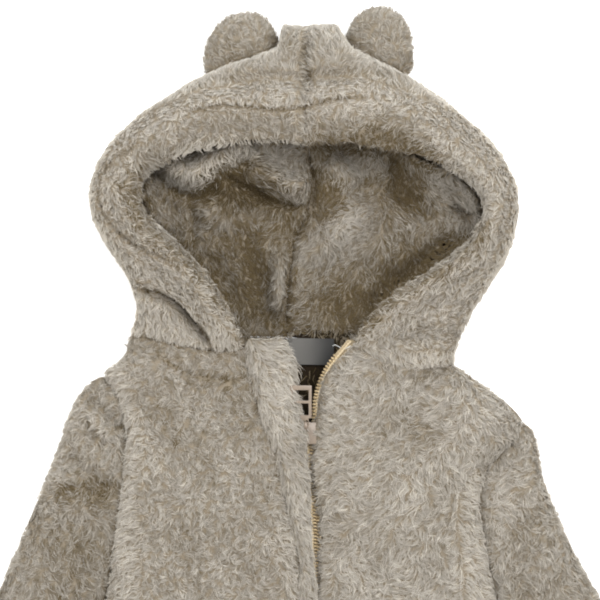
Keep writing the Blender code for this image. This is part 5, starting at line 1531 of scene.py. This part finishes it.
@dataclass
class Body:
    """Fronts, back, sleeves and feet."""

    front_flat: tuple[float, float] = (0.135, 0.500)
    back_flat: tuple[float, float] = (0.262, 0.500)
    sleeve_flat: tuple[float, float] = (0.215, 0.235)
    foot_flat: tuple[float, float] = (0.090, 0.085)

    def panels(self) -> list[Panel]:
        """Lays out the body's panels."""
        right_front = Panel(
            "front_right", self.front_flat, 0.0605,
            (Zone(CURLY), Zone(ARM_COVER_RIGHT, ARM_STRIP_RIGHT), Zone(BESIDE, BESIDE_GUARD)),
            creases=(Crease(YOKE_LINE, 1.8, 5.0, shade_weight=1.0), Crease(NECK_SEAM_RIGHT, 1.3, 3.2),
                     Crease(((-100.0, -30.0), (-97.0, -70.0), (-100.0, -110.0)), -1.0, 10.0),
                     Crease(((-80.0, -26.0), (-76.0, -48.0), (-70.0, -80.0)), 0.9, 15.0,
                            shade_weight=3.6),
                     Crease(((-92.0, -116.0), (-76.0, -138.0), (-60.0, -150.0)), -0.8, 16.0,
                            shade_weight=4.0),
                     Crease(((-90.0, -60.0), (-60.0, -52.0), (-40.0, -58.0)), 0.7, 10.0),
                     Crease(((-30.0, -200.0), (-62.0, -214.0), (-88.0, -210.0)), 1.8, 12.0),
                     Crease(((-20.0, -262.0), (-50.0, -282.0), (-96.0, -286.0)), 2.2, 13.0),
                     Crease(((-24.0, -352.0), (-52.0, -340.0), (-84.0, -346.0)), 1.8, 11.0),
                     Crease(((-48.0, -430.0), (-76.0, -424.0), (-98.0, -434.0)), 1.5, 9.0)),
            partings=(NECK_SEAM_RIGHT, YOKE_LINE), rests_on=("back",))
        left_front = Panel(
            "front_left", self.front_flat, 0.0562,
            (Zone(LOOSE), Zone(SHOULDER, SHOULDER_LEFT), Zone(ARM_COVER_LEFT, ARM_STRIP_LEFT),
             Zone(ZIP_CLEAR, OPEN_EDGE),
             *(Zone(ZIP_COVER, strip) for strip in ZIP_STRIPS)),
            creases=(Crease(((34.0, -6.0), (52.0, -13.0), (72.0, -16.0), (92.0, -10.0)), 0.9, 10.0,
                            shade_weight=3.5),
                     Crease(((58.0, -26.0), (70.0, -42.0), (80.0, -62.0)), 1.0, 14.0, shade_weight=8.0),
                     Crease(((112.0, -46.0), (100.0, -60.0), (97.0, -76.0)), 0.8, 6.0, shade_weight=0.8),
                     Crease(((60.0, -90.0), (78.0, -104.0), (98.0, -108.0)), 0.8, 10.0),
                     Crease(((26.0, -190.0), (58.0, -206.0), (92.0, -202.0)), 1.9, 12.0),
                     Crease(((22.0, -270.0), (48.0, -284.0), (88.0, -278.0)), 2.1, 12.0),
                     Crease(((30.0, -360.0), (62.0, -350.0), (96.0, -358.0)), 1.7, 10.0),
                     Crease(((50.0, -440.0), (78.0, -430.0), (100.0, -438.0)), 1.4, 9.0)),
            swells=(Swell((11.0, -49.0), (9.0, 13.0), (-3.0, 0.0, 3.0)),
                    Swell((10.0, -76.0), (8.0, 23.0), (-2.6, 0.0, 1.8)),
                    Swell((12.5, -162.0), (8.0, 54.0), (-3.0, 0.0, 1.8)),
                    Swell((10.0, -250.0), (8.0, 60.0), (-2.6, 0.0, 1.6))),
            rests_on=("back",))
        back = Panel(
            "back", self.back_flat, 0.1160, (Zone(CURLY), Zone(NECK_PILE, NECK_INSIDE)),
            bare=(LABEL_PATCH,), by_neck=True,
            creases=(Crease(((-90.0, -120.0), (-30.0, -132.0), (40.0, -124.0)), 1.0, 12.0, False),
                     Crease(((-60.0, -300.0), (0.0, -290.0), (70.0, -304.0)), 1.2, 12.0, False)))
        return [right_front, left_front, back, *self.sleeves(), *self.feet()]

    def sleeves(self) -> list[Panel]:
        """Lays out the sleeves."""
        right = Panel(
            "sleeve_right", self.sleeve_flat, 0.0260,
            (Zone(SLEEVE), Zone(UPPER_SLEEVE, UPPER_SLEEVE_RIGHT)),
            creases=(Crease(((-131.0, -27.0), (-123.0, -33.0), (-115.0, -41.0),
                             (-107.0, -52.0)), 5.0, 7.0, tails=0.15, shade_weight=1.0),
                     Crease(((-134.0, -40.0), (-124.0, -52.0), (-112.0, -66.0)), 2.5, 5.0,
                            shade_weight=1.2),
                     Crease(((-129.0, -36.0), (-118.0, -48.0), (-109.0, -64.0)), -3.0, 8.0,
                            shade_weight=1.2),
                     Crease(((-142.0, -60.0), (-130.0, -74.0), (-118.0, -82.0),
                             (-110.0, -84.0)), 4.5, 9.0, tails=0.15, shade_weight=1.0),
                     Crease(((-146.0, -84.0), (-134.0, -94.0), (-116.0, -98.0)), -2.4, 9.0,
                            shade_weight=0.0),
                     Crease(((-152.0, -90.0), (-136.0, -86.0), (-108.0, -90.0)), 1.2, 14.0,
                            shade_weight=7.0),
                     Crease(((-154.0, -116.0), (-136.0, -118.0), (-116.0, -120.0)), 1.0, 12.0,
                            shade_weight=4.0),
                     Crease(((-150.0, -104.0), (-136.0, -108.0), (-120.0, -118.0)), 1.8, 9.0,
                            shade_weight=1.8),
                     Crease(((-182.0, -158.0), (-164.0, -170.0), (-150.0, -172.0)), 1.6, 8.0),
                     Crease(((-170.0, -200.0), (-184.0, -206.0), (-196.0, -202.0)), 1.2, 7.0),
                     Crease(((-160.0, -120.0), (-146.0, -132.0)), 1.0, 8.0, False)))
        left = Panel(
            "sleeve_left", self.sleeve_flat, 0.0228,
            (Zone(SLEEVE_LEFT), Zone(UPPER_SLEEVE, UPPER_SLEEVE_LEFT),
             Zone(SHOULDER, SLEEVE_EDGE_LEFT)),
            creases=(Crease(((136.0, -60.0), (124.0, -70.0), (114.0, -84.0)), 1.6, 7.0,
                            shade_weight=0.2),
                     Crease(((150.0, -92.0), (134.0, -104.0), (118.0, -112.0)), 1.6, 10.0,
                            shade_weight=3.6),
                     Crease(((168.0, -138.0), (150.0, -146.0), (138.0, -146.0)), 1.3, 9.0),
                     Crease(((186.0, -178.0), (168.0, -186.0), (156.0, -186.0)), 1.5, 8.0),
                     Crease(((150.0, -130.0), (164.0, -140.0)), 1.0, 8.0, False)))
        return [right, left]

    def feet(self) -> list[Panel]:
        """Lays out the feet and their soles."""
        made = []
        for side, sign in (("right", -1.0), ("left", 1.0)):
            fold = ((sign * 46.0, -500.0), (sign * 74.0, -506.0), (sign * 98.0, -498.0))
            made.append(Panel(f"foot_{side}", self.foot_flat, 0.0072, (Zone(CURLY),),
                              creases=(Crease(fold, 1.6, 8.0),), rests_on=(f"sole_{side}",)))
            made.append(Panel(f"sole_{side}", self.foot_flat, 0.0066, (Zone(CURLY),)))
        return made


@dataclass
class ZipFastener:
    """The zip with its guard: teeth, tapes, slider, tab and a roll of fleece over it."""

    pitch: float = 2.0
    tooth: tuple[float, float, float] = (3.1, 0.75, 1.3)
    cord_radius: float = 0.8
    bead: float = 1.9           # between the cord's beads
    bare_end: int = 13          # of half pitches at the left row's upper end
    teeth_z: float = 23.5
    row: float = 1.3
    guard_flat: tuple[float, float] = (0.025, 0.325)
    edge_round: float = 0.28

    def lines(self) -> dict[str, Line]:
        """The middle of each row of teeth, from the neck to the lower end."""
        closed = ((-56.0, 5.8), (-76.0, 6.4), (-98.0, 8.2), (-118.0, 9.0), (-150.0, 10.0),
                  (-220.0, 7.0), (-296.0, 1.8))
        opened = {
            "right": ((6.0, -16.0), (-4.0, -13.5), (-14.0, -11.0), (-24.0, -8.0),
                      (-34.0, -4.0), (-44.0, 1.5)),
            "left": ((6.0, 28.5), (-1.5, 22.0), (-9.0, 16.2), (-18.0, 11.4), (-28.0, 8.4),
                     (-38.0, 7.4)),
        }
        shift = {"right": -self.row, "left": self.row}
        return {side: tuple((x, y) for y, x in opened[side])
                + tuple((x + shift[side], y) for y, x in closed) for side in opened}

    def panels(self) -> list[Panel]:
        """Lays out the guard."""
        return [Panel("zip_guard", self.guard_flat, 0.0054, (Zone(GUARD),), hold=Hold.FOLDED,
                      rests_on=("front_right",), crisp=0.3, inset=0.2, levels=3,
                      swells=(Swell((-6.0, -34.0), (15.0, 28.0), (7.8, 0.0, 0.8)),
                              Swell((-7.0, -13.0), (13.0, 15.0), (4.5, 0.0, 0.3)),
                              Swell((-3.0, -52.0), (12.0, 16.0), (4.0, 0.0, 0.4)),
                              Swell((3.0, -80.0), (7.0, 24.0), (1.6, 0.0, 0.4)),
                              Swell((7.0, -160.0), (7.0, 50.0), (1.6, 0.0, 0.4))),
                      creases=(Crease(((-31.0, -6.0), (-22.0, -10.0), (-10.0, -8.0)), 0.9, 6.0),
                               Crease(((-22.0, -46.0), (-12.0, -52.0), (-4.0, -50.0)), 0.7, 7.0)))]

    def tooth_model(self) -> bpy.types.Object:
        """Models one tooth: a rounded bar with a swollen head."""
        width, length, height = (size * MM for size in self.tooth)
        bpy.ops.mesh.primitive_cube_add(size=1.0)
        model = bpy.context.object
        model.scale = (width, length, height)
        bpy.ops.object.transform_apply(location=False, rotation=False, scale=True)
        only(model)
        bpy.ops.object.mode_set(mode="EDIT")
        bpy.ops.mesh.select_all(action="SELECT")
        bpy.ops.mesh.bevel(offset=0.24 * MM, segments=1)
        bpy.ops.mesh.select_all(action="DESELECT")
        bpy.ops.object.mode_set(mode="OBJECT")
        for vertex in model.data.vertices:
            if vertex.co.x > width * 0.25:
                vertex.co.y *= 1.35
                vertex.co.z *= 1.15
        return model

    def build_teeth(self, side: str, line: Line, pattern: Pattern) -> bpy.types.Object:
        """Sets the teeth of one row along its line.

        Args:
            side: "right" or "left".
            line: the row's middle.
            pattern: the pattern's place.

        Returns:
            The row of teeth.
        """
        spots = smooth_line(line, self.pitch / 2)[self.bare_end if side == "left" else 0::2]
        ways = rows_unit(np.gradient(spots, axis=0))
        inward = 1.0 if side == "right" else -1.0
        across = np.stack((-ways[:, 1], ways[:, 0]), axis=1)
        across *= np.where(across[:, :1] * inward > 0, 1.0, -1.0)
        zero = np.zeros(len(spots))
        x_axis = np.stack((across[:, 0], across[:, 1], zero), axis=1)
        z_axis = np.tile((0.0, 0.0, 1.0), (len(spots), 1))
        turns = np.stack((x_axis, np.cross(z_axis, x_axis), z_axis), axis=2)
        places = np.stack((spots[:, 0], spots[:, 1], zero + self.teeth_z), axis=1)
        return arrayed(f"teeth_{side}", self.tooth_model(), pattern.back(places), turns)

    def build_cord(self, side: str, line: Line, pattern: Pattern) -> bpy.types.Object:
        """Runs the tape's beaded edge behind one row of teeth."""
        spots = smooth_line(line, self.bead / 4)
        ways = rows_unit(np.gradient(spots, axis=0))
        across = np.stack((-ways[:, 1], ways[:, 0]), axis=1)
        outward = -1.0 if side == "right" else 1.0
        across *= np.where(across[:, :1] * outward > 0, 1.0, -1.0)
        path = np.full((len(spots), 3), self.teeth_z - 0.1)
        path[:, :2] = spots + across * (self.tooth[0] / 2 - 0.3)
        beads = 1.0 + 0.32 * np.sin(np.arange(len(spots)) * math.pi / 2)
        return rope(f"cord_{side}", path, self.cord_radius * beads, pattern)

    def build_threads(self, pattern: Pattern) -> list[bpy.types.Object]:
        """Leaves two cut ends of sewing thread where the tape is turned under."""
        ends = (((18.4, 2.4, 28.0), (20.0, 3.0, 28.8), (22.0, 2.0, 28.6), (23.2, 1.2, 28.0)),
                ((26.0, 0.6, 31.5), (27.6, 1.6, 32.0), (29.2, 2.6, 32.0)))
        made = []
        for number, end in enumerate(ends):
            path = np.array(end)
            made.append(rope(f"thread_end_{number}", path, np.full(len(path), 0.17), pattern))
        return made

    def build(self, nodes: dict[str, Any], pattern: Pattern) -> None:
        """Builds the zip's hard parts and dresses its tapes.

        Args:
            nodes: the solids by name.
            pattern: the pattern's place.
        """
        gold, weave, enamel = TEETH.material(), TAPE.material(), ENAMEL.material()
        cream, loose = CORD.material(), LOOSE_THREAD.material()
        for thread in self.build_threads(pattern):
            dress(thread, loose)
        for side, line in self.lines().items():
            teeth = self.build_teeth(side, line, pattern)
            dress(teeth, gold)
            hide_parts(f"zip_teeth_{side}")
            dress(self.build_cord(side, line, pattern), cream)
            tape = nodes[f"zip_tape_{side}"]
            for slot in tape.material_slots:
                slot.material = weave
            log.info("zip %s: %d faces of teeth", side, len(teeth.data.polygons))
        for node, name, body in (("zip_slider", "slider", SUIT), ("zip_pull", "pull_tab", PULL)):
            piece = copy_of(nodes[node], name)
            use(piece, "BEVEL", width=self.edge_round * MM, segments=2,
                limit_method="ANGLE", angle_limit=math.radians(40))
            only(piece)
            bpy.ops.object.shade_smooth_by_angle(angle=math.radians(38))
            dress(piece, enamel, body)
            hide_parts(node)
            log.info("%s: %d faces", name, len(piece.data.polygons))


@dataclass
class SizeLabel:
    """The bare woven label at the back of the neck."""

    node: str = "size_label"
    flat: tuple[float, float] = (0.028, 0.016)
    cuts: int = 6
    curl: float = 0.35
    lift: float = 1.2           # over the fleece it is sewn to

    def build(self, nodes: dict[str, Any], pattern: Pattern) -> None:
        """Builds the label with a slight wave along it.

        Args:
            nodes: the solids by name.
            pattern: the pattern's place.
        """
        piece = copy_of(nodes[self.node], "label")
        bpy.ops.object.mode_set(mode="EDIT")
        bpy.ops.mesh.select_all(action="SELECT")
        bpy.ops.mesh.subdivide(number_cuts=self.cuts)
        bpy.ops.object.mode_set(mode="OBJECT")
        points = pattern.of(positions(piece.data))
        points[:, 2] += self.lift + self.curl * np.sin(points[:, 0] * 0.32 + 0.6) * 0.8
        set_positions(piece.data, pattern.back(points))
        only(piece)
        bpy.ops.object.shade_smooth_by_angle(angle=math.radians(40))
        dress(piece, SATIN.material())
        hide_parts(self.node)
        log.info("label: %d faces", len(piece.data.polygons))


@dataclass
class Studio:
    """Floor, lights and camera."""

    view_centre: tuple[float, float] = (-0.0029, 0.2079)
    view_width: float = 0.360
    view_height: float = 0.030
    lens: float = 240.0
    sensor: float = 36.0
    floor_size: float = 8.0
    sky: float = 1.10
    ceiling: float = 0.39

    def build(self) -> None:
        """Sets up the floor, the lights and the camera."""
        bpy.ops.mesh.primitive_plane_add(size=self.floor_size)
        floor = bpy.context.object
        floor.name = "floor"
        floor.data.materials.append(FLOOR.material())
        world = bpy.data.worlds.new("studio_air")
        world.use_nodes = True
        self.light_air(world)
        bpy.context.scene.world = world
        self.lamp("key", (0.50, 0.75, 1.6), 1.2, 30.0)
        self.lamp("fill", (-1.5, 0.0, 1.2), 1.4, 15.0)
        self.lamp("window", (0.0, 1.9, 0.65), 1.0, 9.0, (0.72, 0.86, 1.0))
        self.shoot()

    def light_air(self, world: bpy.types.World) -> None:
        """Lights the studio from all sides at a low angle, and little from the ceiling."""
        nodes, links = world.node_tree.nodes, world.node_tree.links
        place = nodes.new("ShaderNodeTexCoord")
        parts = nodes.new("ShaderNodeSeparateXYZ")
        rise = nodes.new("ShaderNodeMapRange")
        rise.interpolation_type = "SMOOTHSTEP"
        for name, value in (("From Min", 0.30), ("From Max", 0.95), ("To Min", self.sky),
                            ("To Max", self.ceiling)):
            rise.inputs[name].default_value = value
        links.new(place.outputs["Generated"], parts.inputs[0])
        links.new(parts.outputs["Z"], rise.inputs["Value"])
        background = nodes["Background"]
        background.inputs["Color"].default_value = (1, 1, 1, 1)
        links.new(rise.outputs[0], background.inputs["Strength"])

    def lamp(self, name: str, place: tuple[float, float, float], size: float,
             power: float, colour: Colour = (1.0, 1.0, 1.0)) -> None:
        """Hangs one soft square light.

        Args:
            name: its name.
            place: where it hangs, in metres.
            size: length of its side.
            power: in watts.
            colour: of its light.
        """
        bpy.ops.object.light_add(type="AREA", location=place)
        light = bpy.context.object
        light.name = name
        light.data.shape = "SQUARE"
        light.data.size = size
        light.data.energy = power
        light.data.color = colour
        aim = Vector((*self.view_centre, 0.0)) - Vector(place)
        light.rotation_euler = aim.to_track_quat("-Z", "Y").to_euler()

    def shoot(self) -> None:
        """Places the camera straight over the chest and the hood."""
        distance = self.view_width * self.lens / self.sensor
        bpy.ops.object.camera_add(location=(*self.view_centre, distance + self.view_height))
        camera = bpy.context.object
        camera.rotation_euler = (0.0, 0.0, 0.0)
        camera.data.lens = self.lens
        camera.data.sensor_width = self.sensor
        camera.data.clip_start, camera.data.clip_end = 0.1, 20.0
        scene = bpy.context.scene
        scene.camera = camera
        scene.view_settings.view_transform = "Standard"
        scene.view_settings.look = "None"
        scene.cycles.filter_width = 2.0


@dataclass
class Sleepsuit:
    """The whole suit."""

    hood: Hood = field(default_factory=Hood)
    body: Body = field(default_factory=Body)
    zip_fastener: ZipFastener = field(default_factory=ZipFastener)
    label: SizeLabel = field(default_factory=SizeLabel)

    def build(self, nodes: dict[str, Any]) -> None:
        """Builds and dresses every piece.

        Args:
            nodes: the solids by name.
        """
        pattern = Pattern.from_label()
        panels = self.hood.panels() + self.body.panels() + self.zip_fastener.panels()
        for panel in panels:
            panel.cut(nodes, pattern)
        exposure = Exposure([panel.ground for panel in panels])
        shares = [exposure.share(panel.ground) for panel in panels]
        counts = self.share_out(panels, shares)
        ground, neck, pile = GROUND.material(), NECK_GROUND.material(), PILE.material()
        for panel, share, count in zip(panels, shares, counts):
            panel.grow(pattern, share, count)
            panel.declare(neck if panel.by_neck else ground, pile)
        thread = self.hood.stitches(pattern)
        dress(thread, THREAD.material())
        self.zip_fastener.build(nodes, pattern)
        self.label.build(nodes, pattern)

    def share_out(self, panels: list[Panel], shares: list[Share]) -> list[int]:
        """Shares the pile's tufts among the panels.

        Args:
            panels: all panels.
            shares: how densely each vertex of each is planted.

        Returns:
            A count for each panel.
        """
        needs = []
        for panel, share in zip(panels, shares):
            points, corners = positions(panel.ground.data), triangles(panel.ground.data)
            a, b, c = (points[corners[:, k]] for k in range(3))
            areas = 0.5 * np.linalg.norm(np.cross(b - a, c - a), axis=1)
            needs.append(float((areas * share.density[corners].mean(axis=1)).sum()))
        budget = PILE_BUDGET * 1.0
        scale = budget / sum(needs)
        return [max(200, min(PANEL_LIMIT, int(need * scale))) for need in needs]


def main() -> None:
    """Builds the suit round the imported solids, then the studio round the suit."""
    logging.basicConfig(level=logging.INFO, format="%(name)s %(message)s")
    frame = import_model()
    Sleepsuit().build(frame["nodes"])
    Studio().build()


if __name__ == "__main__":
    main()
